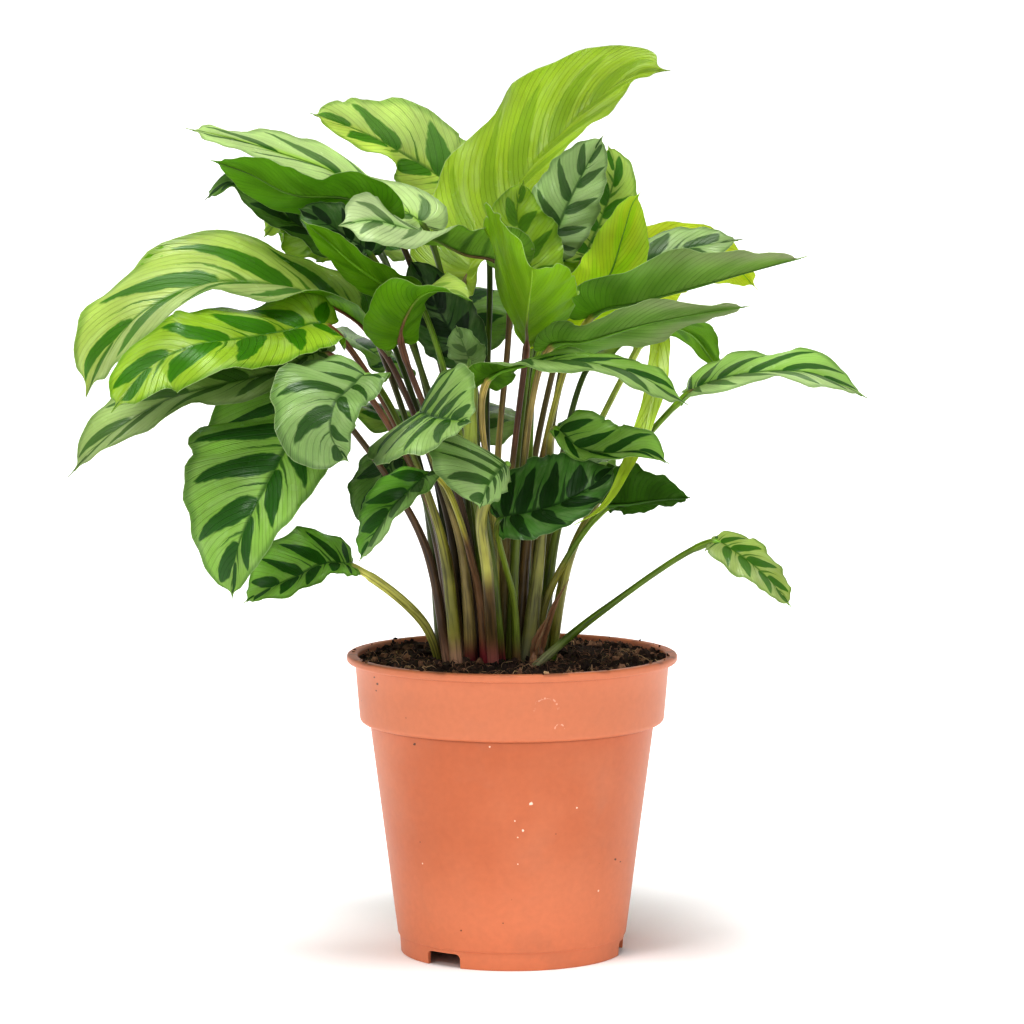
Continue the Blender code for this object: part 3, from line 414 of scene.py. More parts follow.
LEAVES = [
    Leaf(
        "leaf_left_broad", root=(-19.4, 1),
        rib=[
            (-58, -6, 262), (-79, -18, 278), (-96, -28, 284), (-124, -40, 286), (-149, -50, 276),
            (-167, -56, 257), (-174, -58, 240),
        ],
        face=((-0.1, -0.45, 0.86), (-0.6, -0.65, 0.5)), half=(20, 34), fold=(60, 20), spread=(8, 12),
        curl=-20, wave=(3, 3.5, 0), tone="fresh", taper=0.7,
        look=Look(6, 0.22, 0.97, 0.12, silver=(0.45, 0.0), hues=("brown", "brown", "red"), rib="red"),
    ),
    Leaf(
        "leaf_left_bright", root=(-22.5, -4.4),
        rib=[
            (-76, -38, 268), (-92, -52, 267), (-110, -72, 265), (-128, -87, 263), (-145, -88, 255),
            (-160, -100, 237),
        ],
        face=((-0.1, -0.55, 0.83), (-0.5, -0.8, 0.4)), half=(24, 24), fold=(20, 36), spread=(10, 2),
        curl=-25, wave=(2, 3, 0.3), tone="young", taper=0.9,
        look=Look(6, 0.27, 0.96, 0.06, hues=("brown", "purple", "red")),
    ),
    Leaf(
        "leaf_left_pale", root=(-19.4, -9.7),
        rib=[
            (-76, -44, 257), (-95, -57, 251), (-118, -68, 246), (-138, -74, 241), (-163, -76, 226),
            (-180, -76, 209),
        ],
        face=((-0.15, -0.6, 0.8), (-0.5, -0.75, 0.4)), half=(11, 26), fold=(20, 15), spread=10,
        curl=(-25, -30), wave=(2.5, 3.5, 0.1), tone="pale",
        look=Look(7, 0.24, 0.95, 0.10, silver=(0.35, 0.0), hues=("blush", "brown", "red")),
    ),
    Leaf(
        "leaf_left_hanging", root=(-25.6, -9.7),
        rib=[
            (-85, -54, 246), (-87, -72, 231), (-96, -84, 212), (-105, -90, 195), (-111, -92, 179),
            (-113, -88, 159),
        ],
        face=((-0.2, -0.75, 0.6), (-0.4, -0.9, 0.1)), half=(20, 42), fold=(20, 10), spread=(10, 5),
        wave=(2, 3, 0.2), tone="mature", taper=1.3,
        look=Look(7.6, 0.25, 1.0, 0.06, bright=1.2, hues=("blush", "purple", "brown")),
    ),
    Leaf(
        "leaf_left_silver", root=(-22.5, -15.1),
        rib=[(-58, -74, 250), (-65, -88, 246), (-71, -99, 240), (-72, -101, 228), (-65, -98, 217)],
        face=((-0.2, -0.75, 0.6), (0, -1, 0.2)), half=(13, 28), fold=(40, 10), spread=(20, 10),
        curl=(-30, -20), wave=(1.5, 3, 0.5), tone="silver", taper=1.0,
        look=Look(6, 0.21, 0.97, 0.05, hues=("blush", "olive", "moss"), girth=1.3),
    ),
    Leaf(
        "leaf_left_lowest", root=(-28.7, -4.4),
        rib=[(-67, -24, 167), (-78, -32, 169), (-90, -38, 164), (-100, -42, 160), (-111, -44, 154)],
        face=((-0.1, -0.5, 0.86), (-0.3, -0.6, 0.7)), half=(11, 26), fold=(15, 20), spread=10, curl=-20,
        wave=(1.2, 2.5, 0), tone="mature",
        look=Look(
            6.5, 0.27, 0.97, 0.05, bright=1.5, hues=("olive", "straw", "straw"), girth=0.8, stem=1.6,
        ),
    ),
    Leaf(
        "leaf_left_funnel", root=(-13.2, -9.7),
        rib=[(-46, -30, 261), (-45, -38, 270), (-37, -50, 282), (-26, -60, 284), (-16, -68, 280)],
        face=((-0.3, 0.3, 0.9), (0.3, -0.4, 0.9)), half=(14, 17), fold=20, spread=15, curl=10,
        wave=(1.5, 3, 0.2), tone="fresh",
        look=Look(
            5, 0.22, 0.9, 0.1, contrast=0.5, bright=1.1, hues=("wine", "purple", "red"), rib="red",
        ),
    ),
    Leaf(
        "leaf_left_hidden", root=(-25.6, 1),
        rib=[(-44, -8, 210), (-50, -10, 210), (-55, -12, 202), (-58, -14, 191), (-56, -14, 179)],
        face=((-0.1, -0.5, 0.85), (-0.2, -0.95, 0.2)), half=(12, 13), tone="dark",
        look=Look(4, 0.30, 0.9, hues=("brown", "purple", "moss")),
    ),
    Leaf(
        "leaf_front_turned", root=(-10.1, -15.1),
        rib=[(-32, -58, 209), (-42, -66, 203), (-50, -74, 195), (-57, -78, 184), (-62, -79, 175)],
        face=((-0.5, -0.5, 0.7), (-0.6, -0.6, 0.4)), half=(9, 17), fold=(10, 20), spread=10, curl=-20,
        wave=(1, 2, 0), tone="dark",
        look=Look(5, 0.32, 0.97, 0.05, silver=(0.6, 0.0), bright=2.3, hues=("wine", "purple", "olive")),
    ),
    Leaf(
        "leaf_front_notched", root=(-16.3, -15.1),
        rib=[(-38, -60, 233), (-33, -76, 234), (-26, -92, 234), (-16, -106, 234)],
        face=((-0.39, -0.27, 0.85), (-0.35, -0.45, 0.8)), half=(24, 30), fold=(45, 0), spread=(25, 5),
        curl=-20, wave=(1, 2.5, 0.2), tone="mature", lobe=1.3, taper=1.0,
        look=Look(
            7, 0.30, 0.97, 0.04, silver=(0.3, 0.35), bright=1.05, hues=("wine", "tan", "olive"),
            girth=1.15,
        ),
    ),
    Leaf(
        "leaf_front_silver", root=(-7, -20.5),
        rib=[(-2, -62, 213), (-6, -76, 211), (-10, -88, 206), (-13, -94, 198)],
        stalk=[(-10, -34, 164), (-12, -50, 193)], face=((0.25, -0.5, 0.8), (0.1, -0.8, 0.4)),
        half=(10, 33), fold=(-50, 10), spread=(-30, 10), curl=(-40, -15), wave=(1, 2.5, 0),
        tone="silver", lobe=2, taper=1.0,
        look=Look(
            7, 0.29, 0.95, 0.04, silver=(0.3, 0.3), bright=1.3, hues=("rose", "brown", "straw"),
            girth=0.95, stem=1.9, body_end=0.42,
        ),
    ),
    Leaf(
        "leaf_front_dark", root=(2.3, -15.1),
        rib=[(-5, -42, 188), (6, -48, 192), (19, -52, 196), (32, -54, 203), (43, -52, 212)],
        face=(-0.1, -0.75, 0.65), half=(26, 13), fold=10, spread=10, curl=(-15, -25),
        wave=(1, 2.5, 0.4), tone="shade",
        look=Look(6, 0.30, 0.98, 0.06, bright=1.7, hues=("purple", "moss", "moss")),
    ),
    Leaf(
        "leaf_front_rolled", root=(5.4, -9.7),
        rib=[(18, -42, 226), (28, -54, 219), (41, -64, 218), (53, -68, 219), (64, -70, 214)],
        stalk=[(15, -16, 200)], face=((0, -0.45, 0.9), (0.1, -0.5, 0.85)), half=(17, 5), fold=(25, -10),
        spread=(20, -10), curl=(0, -20), wave=(1.2, 2.5, 0.3), tone="mature",
        look=Look(5, 0.24, 0.95, bright=1.25, hues=("white", "straw", "straw"), girth=1.5, stem=1.3),
    ),
    Leaf(
        "leaf_right_shaded", root=(8.5, -4.4),
        rib=[(40, -23, 192), (49, -28, 194), (61, -32, 196), (74, -36, 197)],
        face=(0, 0.7, 0.7), half=(8, 25), fold=10, spread=10, curl=(-10, -20), wave=(1, 2, 0),
        tone="shade",
        look=Look(4, 0.2, 0.9, contrast=0.5, bright=1.1, hues=("olive", "olive", "green")),
    ),
    Leaf(
        "leaf_right_strap", root=(11.6, 1),
        rib=[
            (53, 6, 256), (57, -3, 264), (61, -13, 264), (61, -24, 254), (58, -37, 238), (47, -56, 212),
            (37, -64, 196), (22, -67, 187),
        ],
        face=((0.1, 0.3, 0.9), (0.3, -0.8, 0.5)), half=(4.6, 4.6), fold=8, spread=8, curl=10,
        wave=(0.4, 2, 0), tone="young",
        look=Look(
            2, 0.0, 0.1, contrast=0.0, bright=1.2, warm=0.15, hues=("olive", "moss", "lime"), girth=1.1,
        ),
    ),
    Leaf(
        "leaf_right_front", root=(-7, -9.7),
        rib=[(-10, -52, 247), (5, -60, 254), (24, -72, 256), (48, -80, 252), (71, -84, 239)],
        face=((0, 0.25, 0.95), (0.1, -0.5, 0.85)), half=(20, 17), fold=(35, 10), spread=(5, 10),
        wave=(2, 2.5, 0.2), tone="mature", lobe=1.3,
        look=Look(6, 0.26, 0.97, 0.08, silver=(0.0, 0.4), hues=("olive", "olive", "tan"), girth=1.1),
    ),
    Leaf(
        "leaf_right_middle", root=(-0.8, -9.7),
        rib=[(16, -30, 259), (30, -36, 262), (53, -42, 269), (77, -46, 274), (98, -46, 277)],
        face=(-0.1, 0.75, 0.65), half=(14, 11), fold=(25, 15), spread=(20, 15), curl=-20,
        wave=(2.5, 3, 0.1), tone="dark", taper=1.6,
        look=Look(
            5, 0.2, 0.95, 0.1, contrast=0.35, pale=0.85, bright=1.6, hues=("olive", "moss", "tan"),
        ),
    ),
    Leaf(
        "leaf_right_long", root=(2.3, -4.4),
        rib=[(33, -8, 270), (53, -15, 277), (78, -18, 284), (103, -18, 291), (123, -16, 296)],
        face=(-0.1, 0.8, 0.6), half=(15, 20), fold=(60, 10), spread=(60, 10), curl=(-10, -20),
        wave=(2.5, 3, 0.3), tone="dark", taper=1.7,
        look=Look(
            6, 0.2, 0.95, 0.1, contrast=0.35, pale=1.0, bright=2.2, warm=0.1,
            hues=("olive", "brown", "olive"),
        ),
    ),
    Leaf(
        "leaf_right_pale", root=(5.4, 11.7),
        rib=[(34, 60, 272), (56, 64, 288), (77, 64, 294), (97, 64, 288), (107, 62, 278)],
        face=((0, 0.8, 0.6), (0.3, 0.8, 0.5)), half=(22, 18), tone="young",
        # Painted glow: the blade is made lighter and yellower for light that shines through it from
        # behind
        look=Look(
            6, 0.2, 0.9, contrast=0.4, pale=0.3, bright=2.1, warm=0.4, hues=("brown", "tan", "tan"),
        ),
    ),
    Leaf(
        "leaf_right_grey", root=(8.5, 6.4),
        rib=[(31, 24, 276), (50, 23, 289), (71, 20, 297), (98, 16, 302)],
        face=((0, -0.55, 0.8), (0.1, -0.6, 0.8)), half=(18, 16), tone="silver",
        look=Look(5, 0.26, 0.97, 0.05, silver=(0.3, 0.3), hues=("brown", "olive", "olive")),
    ),
    Leaf(
        "leaf_right_arched", root=(14.7, -4.4),
        rib=[
            (73, -34, 240), (84, -40, 246), (102, -48, 250), (122, -54, 250), (135, -58, 245),
            (145, -60, 240),
        ],
        face=((0, -0.4, 0.9), (0.1, -0.4, 0.9)), half=(20, 10), fold=(15, 10), spread=10,
        curl=(-20, -25), wave=(2, 3, 0.2), tone="mature",
        look=Look(
            7, 0.24, 0.97, 0.12, silver=(0.2, 0.75), bright=1.3, hues=("green", "olive", "green"),
            rib="brown", girth=1.15,
        ),
    ),
    Leaf(
        "leaf_right_lowest", root=(-0.8, -20.5),
        rib=[(83, -50, 180), (91, -56, 177), (104, -62, 167), (114, -66, 155)],
        stalk=[(37, -34, 149)], face=((0.2, -0.5, 0.8), (0.4, -0.5, 0.7)), half=(14, 11), fold=10,
        spread=10, wave=(1, 2.5, 0.2), tone="fresh",
        look=Look(
            6, 0.26, 0.95, 0.08, silver=(0.0, 0.35), bright=1.0, hues=("white", "green", "green"),
            girth=0.9,
        ),
    ),
    Leaf(
        "leaf_top_tallest", root=(-7, 11.7),
        rib=[
            (-20, 44, 283), (-8, 50, 306), (4, 52, 326), (22, 52, 347), (41, 50, 364), (55, 46, 372),
            (68, 40, 373),
        ],
        face=((-0.5, -0.8, 0.35), (-0.4, -0.8, 0.5)), half=(38, 16), fold=(5, 35), spread=(10, 25),
        curl=(-15, -10), wave=(3, 3, 0.2), tone="young", taper=1.1,
        look=Look(
            8, 0.24, 0.98, 0.14, contrast=0.3, warm=0.08, hues=("brown", "brown", "olive"), rib="brown",
        ),
    ),
    Leaf(
        "leaf_top_left", root=(-10.1, 17.1),
        rib=[(-15, 94, 315), (-31, 90, 326), (-48, 79, 337), (-64, 62, 346), (-87, 44, 355)],
        face=((-0.1, -0.9, 0.45), (-0.2, -0.8, 0.6)), half=(14, 24), fold=15, spread=10, curl=-15,
        wave=(3, 3, 0.3), tone="fresh",
        look=Look(
            4.5, 0.24, 0.96, 0.08, silver=(0.0, 0.4), bright=1.4, warm=0.08,
            hues=("brown", "moss", "green"),
        ),
    ),
    Leaf(
        "leaf_top_long", root=(-16.3, 6.4),
        rib=[
            (-38, 32, 307), (-59, 28, 318), (-76, 22, 330), (-97, 12, 338), (-116, 6, 344),
            (-137, 0, 349),
        ],
        face=((-0.15, -0.5, 0.85), (-0.2, -0.5, 0.85)), half=(18, 20), spread=10, curl=-20,
        wave=(3, 3, 0.1), tone="mature",
        look=Look(
            5, 0.15, 0.95, 0.16, silver=(0.7, 0.7), bright=1.6, warm=0.15,
            hues=("brown", "moss", "green"),
        ),
    ),
    Leaf(
        "leaf_high_dark", root=(-13.2, 1),
        rib=[(-53, 8, 312), (-69, -3, 320), (-92, -13, 322), (-110, -18, 331), (-125, -20, 336)],
        face=(0, 0.75, 0.65), half=(14, 13), fold=10, spread=10, wave=(2.5, 3, 0.1), tone="dark",
        taper=0.9,
        look=Look(5, 0.2, 0.9, contrast=0.4, bright=1.8, hues=("brown", "moss", "brown")),
    ),
    Leaf(
        "leaf_high_banded", root=(-28.7, 6.4),
        rib=[(-78, 20, 299), (-92, 16, 309), (-105, 10, 319), (-118, 5, 326), (-129, 0, 319)],
        face=((-0.2, -0.6, 0.75), (-0.4, -0.6, 0.6)), half=(9, 13), tone="dark",
        look=Look(5, 0.30, 0.95, bright=1.2, hues=("brown", "moss", "brown")),
    ),
    Leaf(
        "leaf_high_small", root=(-22.5, 6.4),
        rib=[(-73, 30, 299), (-87, 30, 305), (-99, 30, 309), (-106, 30, 302)],
        face=((-0.3, -0.7, 0.6), (-0.6, -0.6, 0.4)), half=(14, 16), tone="young",
        look=Look(4, 0.2, 0.9, contrast=0.5, hues=("brown", "moss", "green")),
    ),
    Leaf(
        "leaf_high_shaded", root=(-16.3, -4.4),
        rib=[(-59, -10, 296), (-69, -14, 304), (-79, -18, 311), (-89, -18, 316)],
        face=(-0.3, -0.7, 0.6), half=(12, 12), tone="shade", taper=0.9,
        look=Look(4, 0.25, 0.9, bright=1.2, hues=("brown", "moss", "moss")),
    ),
    Leaf(
        "leaf_high_narrow", root=(-10.1, -4.4),
        rib=[(-42, -14, 282), (-53, -22, 285), (-66, -28, 294), (-77, -32, 304), (-87, -34, 312)],
        face=(-0.3, 0.5, 0.8), half=(8, 9), tone="fresh",
        look=Look(5, 0.2, 0.9, contrast=0.5, bright=1.1, hues=("brown", "moss", "green")),
    ),
    Leaf(
        "leaf_middle_silver", root=(-7, 1),
        rib=[
            (-4, 7, 291), (-20, -2, 297), (-33, -20, 304), (-46, -38, 309), (-58, -48, 312),
            (-71, -54, 310),
        ],
        face=((0, 0.1, 1), (-0.2, -0.9, 0.35)), half=(22, 22), fold=(70, 30), spread=5, curl=(-10, -20),
        wave=(1.5, 3, 0.3), tone="silver", taper=0.7,
        look=Look(
            7, 0.16, 0.93, 0.06, silver=(0.85, 0.9), bright=1.4, hues=("wine", "tan", "brown"),
            rib="brown",
        ),
    ),
    Leaf(
        "leaf_middle_keeled", root=(-3.9, -4.4),
        rib=[(6, -30, 259), (6, -49, 269), (7, -69, 281), (8, -83, 290), (8, -93, 295)],
        face=((0, 0.5, 0.85), (0, 0.4, 0.9)), half=(24, 50), fold=(34, 70), spread=(20, 62), curl=10,
        tone="young", taper=1.0,
        look=Look(5, 0.2, 0.95, contrast=0.3, hues=("brown", "tan", "red"), rib="red", girth=1.1),
    ),
    Leaf(
        "leaf_top_bright", root=(-0.8, 1), rib=[(9, 22, 283), (5, 22, 299), (2, 21, 312), (5, 19, 327)],
        face=((-0.2, -0.8, 0.5), (-0.1, -0.9, 0.3)), half=(14, 16), tone="young",
        look=Look(5, 0.26, 0.9, 0.08, contrast=0.75, bright=1.1, hues=("brown", "moss", "green")),
    ),
    Leaf(
        "leaf_top_silver", root=(-3.9, 6.4),
        rib=[(17, 30, 297), (22, 29, 312), (30, 28, 329), (39, 25, 346)],
        face=(-0.1, -0.85, 0.5), half=(17, 14), tone="silver",
        look=Look(6, 0.22, 0.97, 0.08, silver=(0.3, 0.3), bright=1.2, hues=("brown", "moss", "green")),
    ),
    Leaf(
        "leaf_top_banded", root=(2.3, 6.4),
        rib=[(31, 45, 292), (39, 45, 311), (44, 44, 329), (41, 42, 342)],
        face=(0.1, -0.85, 0.5), half=(15, 13), tone="fresh",
        look=Look(5, 0.24, 0.95, 0.08, bright=1.4, hues=("brown", "tan", "tan"), girth=0.8),
    ),
    Leaf(
        "leaf_right_upright", root=(5.4, 1),
        rib=[(13, 8, 258), (28, 9, 273), (40, 8, 285), (47, 6, 305), (51, 4, 318), (55, 4, 323)],
        face=(0.1, 0.9, 0.3), half=(16, 14), tone="fresh",
        # Painted glow: the blade is made lighter and yellower for light that shines through it from
        # behind
        look=Look(
            5, 0.2, 0.9, contrast=0.4, pale=0.25, bright=2.6, warm=0.5, hues=("brown", "moss", "green"),
        ),
    ),
    Leaf(
        "leaf_middle_shaded", root=(-10.1, 6.4),
        rib=[(-20, -1, 252), (-28, -5, 268), (-36, -8, 283), (-43, -11, 295)],
        face=(-0.3, -0.7, 0.6), half=(14, 14), tone="shade",
        look=Look(4, 0.25, 0.9, hues=("brown", "moss", "moss")),
    ),
    Leaf(
        "leaf_middle_small", root=(-3.9, -15.1),
        rib=[(-17, -40, 252), (-20, -44, 261), (-23, -46, 269)],
        stalk=[(-9, -26, 168), (-17, -38, 218)], face=(-0.4, -0.8, 0.4), half=(8, 8), tone="silver",
        look=Look(3, 0.2, 0.9, contrast=0.6, hues=("wine", "moss", "lime"), girth=0.95, stem=2.2),
    ),
    Leaf(
        "leaf_back_middle", root=(-13.2, 11.7),
        rib=[(-22, 60, 258), (-28, 96, 276), (-34, 130, 272), (-38, 154, 252)],
        face=((0, 0.45, 0.9), (0, 0.75, 0.6)), half=(25, 27), wave=(2, 3, 0.1), tone="mature",
    ),
    Leaf(
        "leaf_back_left_low", root=(11.6, 11.7),
        rib=[(36, 78, 248), (60, 102, 260), (80, 122, 256), (94, 136, 238)],
        face=((0, 0.25, 0.95), (0.3, 0.5, 0.8)), half=(17, 18), tone="fresh",
    ),
    Leaf(
        "leaf_back_right_wide", root=(-19.4, 11.7),
        rib=[(-54, 50, 246), (-86, 80, 258), (-110, 104, 252), (-126, 118, 232)],
        face=((-0.2, 0.4, 0.9), (-0.6, 0.5, 0.6)), half=(24, 26), wave=(2, 3, 0.3), tone="mature",
    ),
    Leaf(
        "leaf_back_silver", root=(2.3, 17.1),
        rib=[(14, 48, 190), (24, 76, 200), (32, 102, 196), (37, 118, 180)],
        face=((0, 0.45, 0.9), (0, 0.75, 0.6)), half=(20, 20), tone="silver",
    ),
    Leaf(
        "leaf_back_right_low", root=(-25.6, 11.7),
        rib=[(-52, 44, 222), (-80, 66, 228), (-108, 86, 214), (-124, 96, 188)],
        face=((-0.3, 0.3, 0.9), (-0.6, 0.6, 0.5)), half=(24, 26), wave=(2, 3, 0.2), tone="fresh",
    ),
    Leaf(
        "leaf_back_lowest", root=(-7, 22.5),
        rib=[(-8, 50, 160), (-8, 80, 168), (-9, 106, 162), (-10, 122, 144)],
        face=((0, 0.45, 0.9), (0, 0.75, 0.6)), half=(20, 22), tone="mature",
    ),
    Leaf(
        "leaf_back_pale", root=(-16.3, 17.1),
        rib=[(-18, 58, 215), (-22, 90, 226), (-27, 120, 220), (-30, 138, 200)],
        face=((0, 0.45, 0.9), (0, 0.75, 0.6)), half=(22, 24), tone="pale",
    ),
    Leaf(
        "leaf_back_high", root=(-3.9, 17.1),
        rib=[(16, 72, 288), (20, 100, 302), (22, 124, 300), (22, 142, 284)],
        face=((0, 0.1, 1), (0, 0.8, 0.6)), half=(20, 22), tone="young",
    ),
    Leaf(
        "leaf_back_right_high", root=(-22.5, 17.1),
        rib=[(-58, 84, 294), (-76, 104, 308), (-92, 120, 308), (-104, 132, 294)],
        face=((-0.2, 0.4, 0.9), (-0.5, 0.6, 0.6)), half=(20, 22), tone="fresh",
    ),
    Leaf(
        "leaf_back_left_high", root=(-0.8, 11.7),
        rib=[(20, 72, 300), (30, 94, 314), (38, 112, 316), (44, 124, 306)],
        face=((0.1, 0.1, 1), (0.4, 0.6, 0.7)), half=(17, 18), tone="silver",
    ),
    Leaf(
        "sheath_dry_tan", root=(8.5, -15.1),
        rib=[(9, -15, 127), (10, -18, 134), (13, -20, 141), (16, -22, 147)],
        face=(0, -0.9, 0.3), half=(4, 4), fold=35, spread=35, wave=(0.5, 2, 0), tone="dry",
        look=Look(1, 0.0, 0.1, hues=("dry", "dry", "dry"), rib="dry", girth=0.6),
    ),
    Leaf(
        "sheath_dry_red", root=(11.6, -9.7),
        rib=[(12, -10, 128), (14, -12, 138), (18, -16, 150), (24, -18, 161)],
        face=(0, -0.9, 0.3), half=(3.5, 4), fold=(45, 35), spread=(45, 35), wave=(0.5, 2, 0.3),
        tone="dry",
        look=Look(1, 0.0, 0.1, hues=("dry", "dry", "dry"), rib="dry", girth=0.5),
    ),
]


def smooth_through(points, steps):
    """Positions along a smooth curve through the points, steps of them to each span."""
    points = np.array(points, float)
    spans = np.linalg.norm(np.diff(points, axis=0), axis=1)
    knots = np.concatenate([[0.0], np.cumsum(np.sqrt(spans))])
    slopes = np.gradient(points, knots, axis=0)
    pieces = []
    for low in range(len(points) - 1):
        width = knots[low + 1] - knots[low]
        x = np.linspace(0.0, 1.0, steps, endpoint=False)[:, None]
        pieces.append(
            (2 * x**3 - 3 * x**2 + 1) * points[low]
            + (x**3 - 2 * x**2 + x) * width * slopes[low]
            + (3 * x**2 - 2 * x**3) * points[low + 1]
            + (x**3 - x**2) * width * slopes[low + 1]
        )
    pieces.append(points[-1:])
    return np.concatenate(pieces)


def unit(vectors):
    """The same directions with a length of one."""
    vectors = np.asarray(vectors, float)
    return vectors / np.linalg.norm(vectors, axis=-1, keepdims=True)


class Track:
    """The line of a leaf from its root to its tip, with the way its upper side looks."""

    def __init__(self, leaf):
        start = np.array([*leaf.root, ROOT_HEIGHT])
        stalk = leaf.stalk or [start + (leaf.rib[0] - start) * (RISE_OUT, RISE_OUT, RISE_UP)]
        nodes = [start, *stalk, *leaf.rib]
        self.points = smooth_through(nodes, TRACK_STEPS)
        spans = np.linalg.norm(np.diff(self.points, axis=0), axis=1)
        along = np.concatenate([[0.0], np.cumsum(spans)])
        joint = TRACK_STEPS * (1 + len(stalk))
        self.along = along - along[joint]
        self.stalk_length = along[joint]
        self.length = self.along[-1]
        self.tangents = unit(np.gradient(self.points, self.along, axis=0))
        self.normals = self._normals(leaf, joint)

    def _normals(self, leaf, joint):
        ends = unit(np.atleast_2d(leaf.face))
        first, last = ends[0], ends[-1]
        share = np.clip(self.along / self.length, 0.0, 1.0)[:, None]
        wanted = first + (last - first) * share
        normals = np.empty_like(wanted)
        for row in range(len(wanted) - 1, -1, -1):
            aim = wanted[row] if row >= joint else normals[row + 1]
            tangent = self.tangents[row]
            normals[row] = unit(aim - np.dot(aim, tangent) * tangent)
        return normals

    def frame(self, distance):
        """Position, tangent and normal at distances along the line, 0 at the joint."""
        distance = np.asarray(distance, float)
        kept = np.clip(distance, self.along[0], self.along[-1])
        found = []
        for values in (self.points, self.tangents, self.normals):
            columns = [np.interp(kept, self.along, values[:, axis]) for axis in range(3)]
            found.append(np.stack(columns, -1))
        place, tangent, normal = found
        return place, unit(tangent), unit(normal)

    def blade_frame(self, distance):
        """As frame, carried straight on past the joint and the tip."""
        inside = np.clip(distance, 0.0, self.length)
        place, tangent, normal = self.frame(inside)
        beyond = (np.asarray(distance) - inside)[..., None]
        return place + tangent * beyond, tangent, normal


def outline_at(shares):
    """Outline columns at shares of the way from the joint to the tip."""
    table = smooth_through(OUTLINE, TRACK_STEPS)
    place = np.linspace(0.0, 1.0, len(table))
    return [np.interp(shares, place, table[:, column]) for column in range(3)]


def halves(pair, right):
    """The value for each point's half of the blade, from one number or a left and a right one."""
    left_value, right_value = np.broadcast_to(pair, 2)
    return np.where(right, right_value, left_value)


def blade_grid(leaf, track, rows, columns):
    """Middle surface of the blade: one row of points to each side vein, margin to margin."""
    rows = np.asarray(rows)[:, None]
    reach = np.atleast_2d(columns)
    leave, meet, width = outline_at(rows)
    width = np.where(rows > WIDEST_ROW, width**leaf.taper, width)
    meet = np.where(meet < 0, meet * leaf.lobe, meet)
    right = reach > 0
    side = np.abs(reach)
    widest = halves(leaf.half, right)
    half = np.maximum(widest * width, TIP_HALF_WIDTH)
    lean = np.minimum(1.0, widest / (LEAN_SHARE * track.length))
    along = track.length * (leave + lean * (meet - leave) * side**VEIN_BEND)
    bends = (leaf.fold, leaf.spread, leaf.curl)
    fold, spread, curl = (np.radians(halves(pair, right)) for pair in bends)
    angle = fold + (spread - fold) * rows**FOLD_EASE + curl * side / 2
    height, count, phase = leaf.wave
    turn = 2 * np.pi * (count * rows + phase + WAVE_SHIFT * right)
    ripple = height * side**2 * np.sin(turn) * np.sin(np.pi * rows)
    out = half * side * np.cos(angle)
    up = half * side * np.sin(angle) + ripple
    place, tangent, normal = track.blade_frame(along)
    sideways = np.cross(tangent, normal) * np.where(right, 1.0, -1.0)[..., None]
    return place + sideways * out[..., None] + normal * up[..., None]


def grid_normals(grid, hint):
    """Unit normals of a grid of points, on the side that hint looks at."""
    down = np.gradient(grid, axis=0)
    along = np.gradient(grid, axis=1)
    normals = unit(np.cross(down, along))
    flip = np.sign(np.sum(normals * hint, axis=-1, keepdims=True))
    return normals * np.where(flip == 0, 1.0, flip)


# Parts of a piece


def ease(values, low, high):
    """Smooth step of values from 0 at low to 1 at high."""
    share = np.clip((np.asarray(values, float) - low) / (high - low), 0.0, 1.0)
    return share * share * (3.0 - 2.0 * share)


def blend(first, second, share):
    """Colours between two, by a share for each point."""
    share = np.asarray(share, float)[..., None]
    return np.asarray(first) * (1.0 - share) + np.asarray(second) * share


def skin(rings, flip=False):
    """Faces between rings of points. A ring of one point is a pole."""
    faces, start = [], 0
    for ring, following in zip(rings[:-1], rings[1:]):
        after_ring = start + len(ring)
        count = max(len(ring), len(following))
        for side in range(count):
            after = (side + 1) % count
            near = (start + side, start + after) if len(ring) > 1 else (start,)
            far = (after_ring + after, after_ring + side) if len(following) > 1 else (after_ring,)
            face = near + far
            faces.append(face[:1] + face[:0:-1] if flip else face)
        start = after_ring
    return faces


def tube(rings):
    """Closed tube through rings of points: points and faces."""
    sides = len(rings[0])
    last = (len(rings) - 1) * sides
    caps = [tuple(range(sides))[::-1], tuple(range(last, last + sides))]
    return np.concatenate(rings), skin(rings) + caps


def fuse(solids):
    """Points and faces of one mesh from those of separate solids."""
    points, faces, start = [], [], 0
    for solid_points, solid_faces in solids:
        points.append(solid_points)
        faces += [tuple(int(corner) + start for corner in face) for face in solid_faces]
        start += len(solid_points)
    return np.concatenate(points), faces


def mesh_object(name, points, faces):
    """Bare mesh object from points in millimetres."""
    mesh = bpy.data.meshes.new(name)
    mesh.from_pydata((np.asarray(points, float) * MM).tolist(), [], [list(face) for face in faces])
    thing = bpy.data.objects.new(name, mesh)
    SCENE.collection.objects.link(thing)
    return thing


def paint(mesh, name, values):
    """Store a colour or vector for each point, under a name that materials read."""
    if name in COLOUR_NAMES:
        layer = mesh.attributes.new(name, "FLOAT_COLOR", "POINT")
        rgba = np.concatenate([values, np.ones((len(values), 1))], axis=1)
        layer.data.foreach_set("color", rgba.astype(np.float32).ravel())
    else:
        layer = mesh.attributes.new(name, "FLOAT_VECTOR", "POINT")
        layer.data.foreach_set("vector", values.astype(np.float32).ravel())


def finish_piece(thing, slots, angle, node):
    """Smooth a piece, give it its materials, hang it on the root and hide the packed part it replaces.
    """
    thing.data.shade_smooth()
    thing.data.set_sharp_from_angle(angle=math.radians(angle))
    for slot in slots:
        thing.data.materials.append(slot)
    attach(thing, "root")
    if node:
        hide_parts(node)


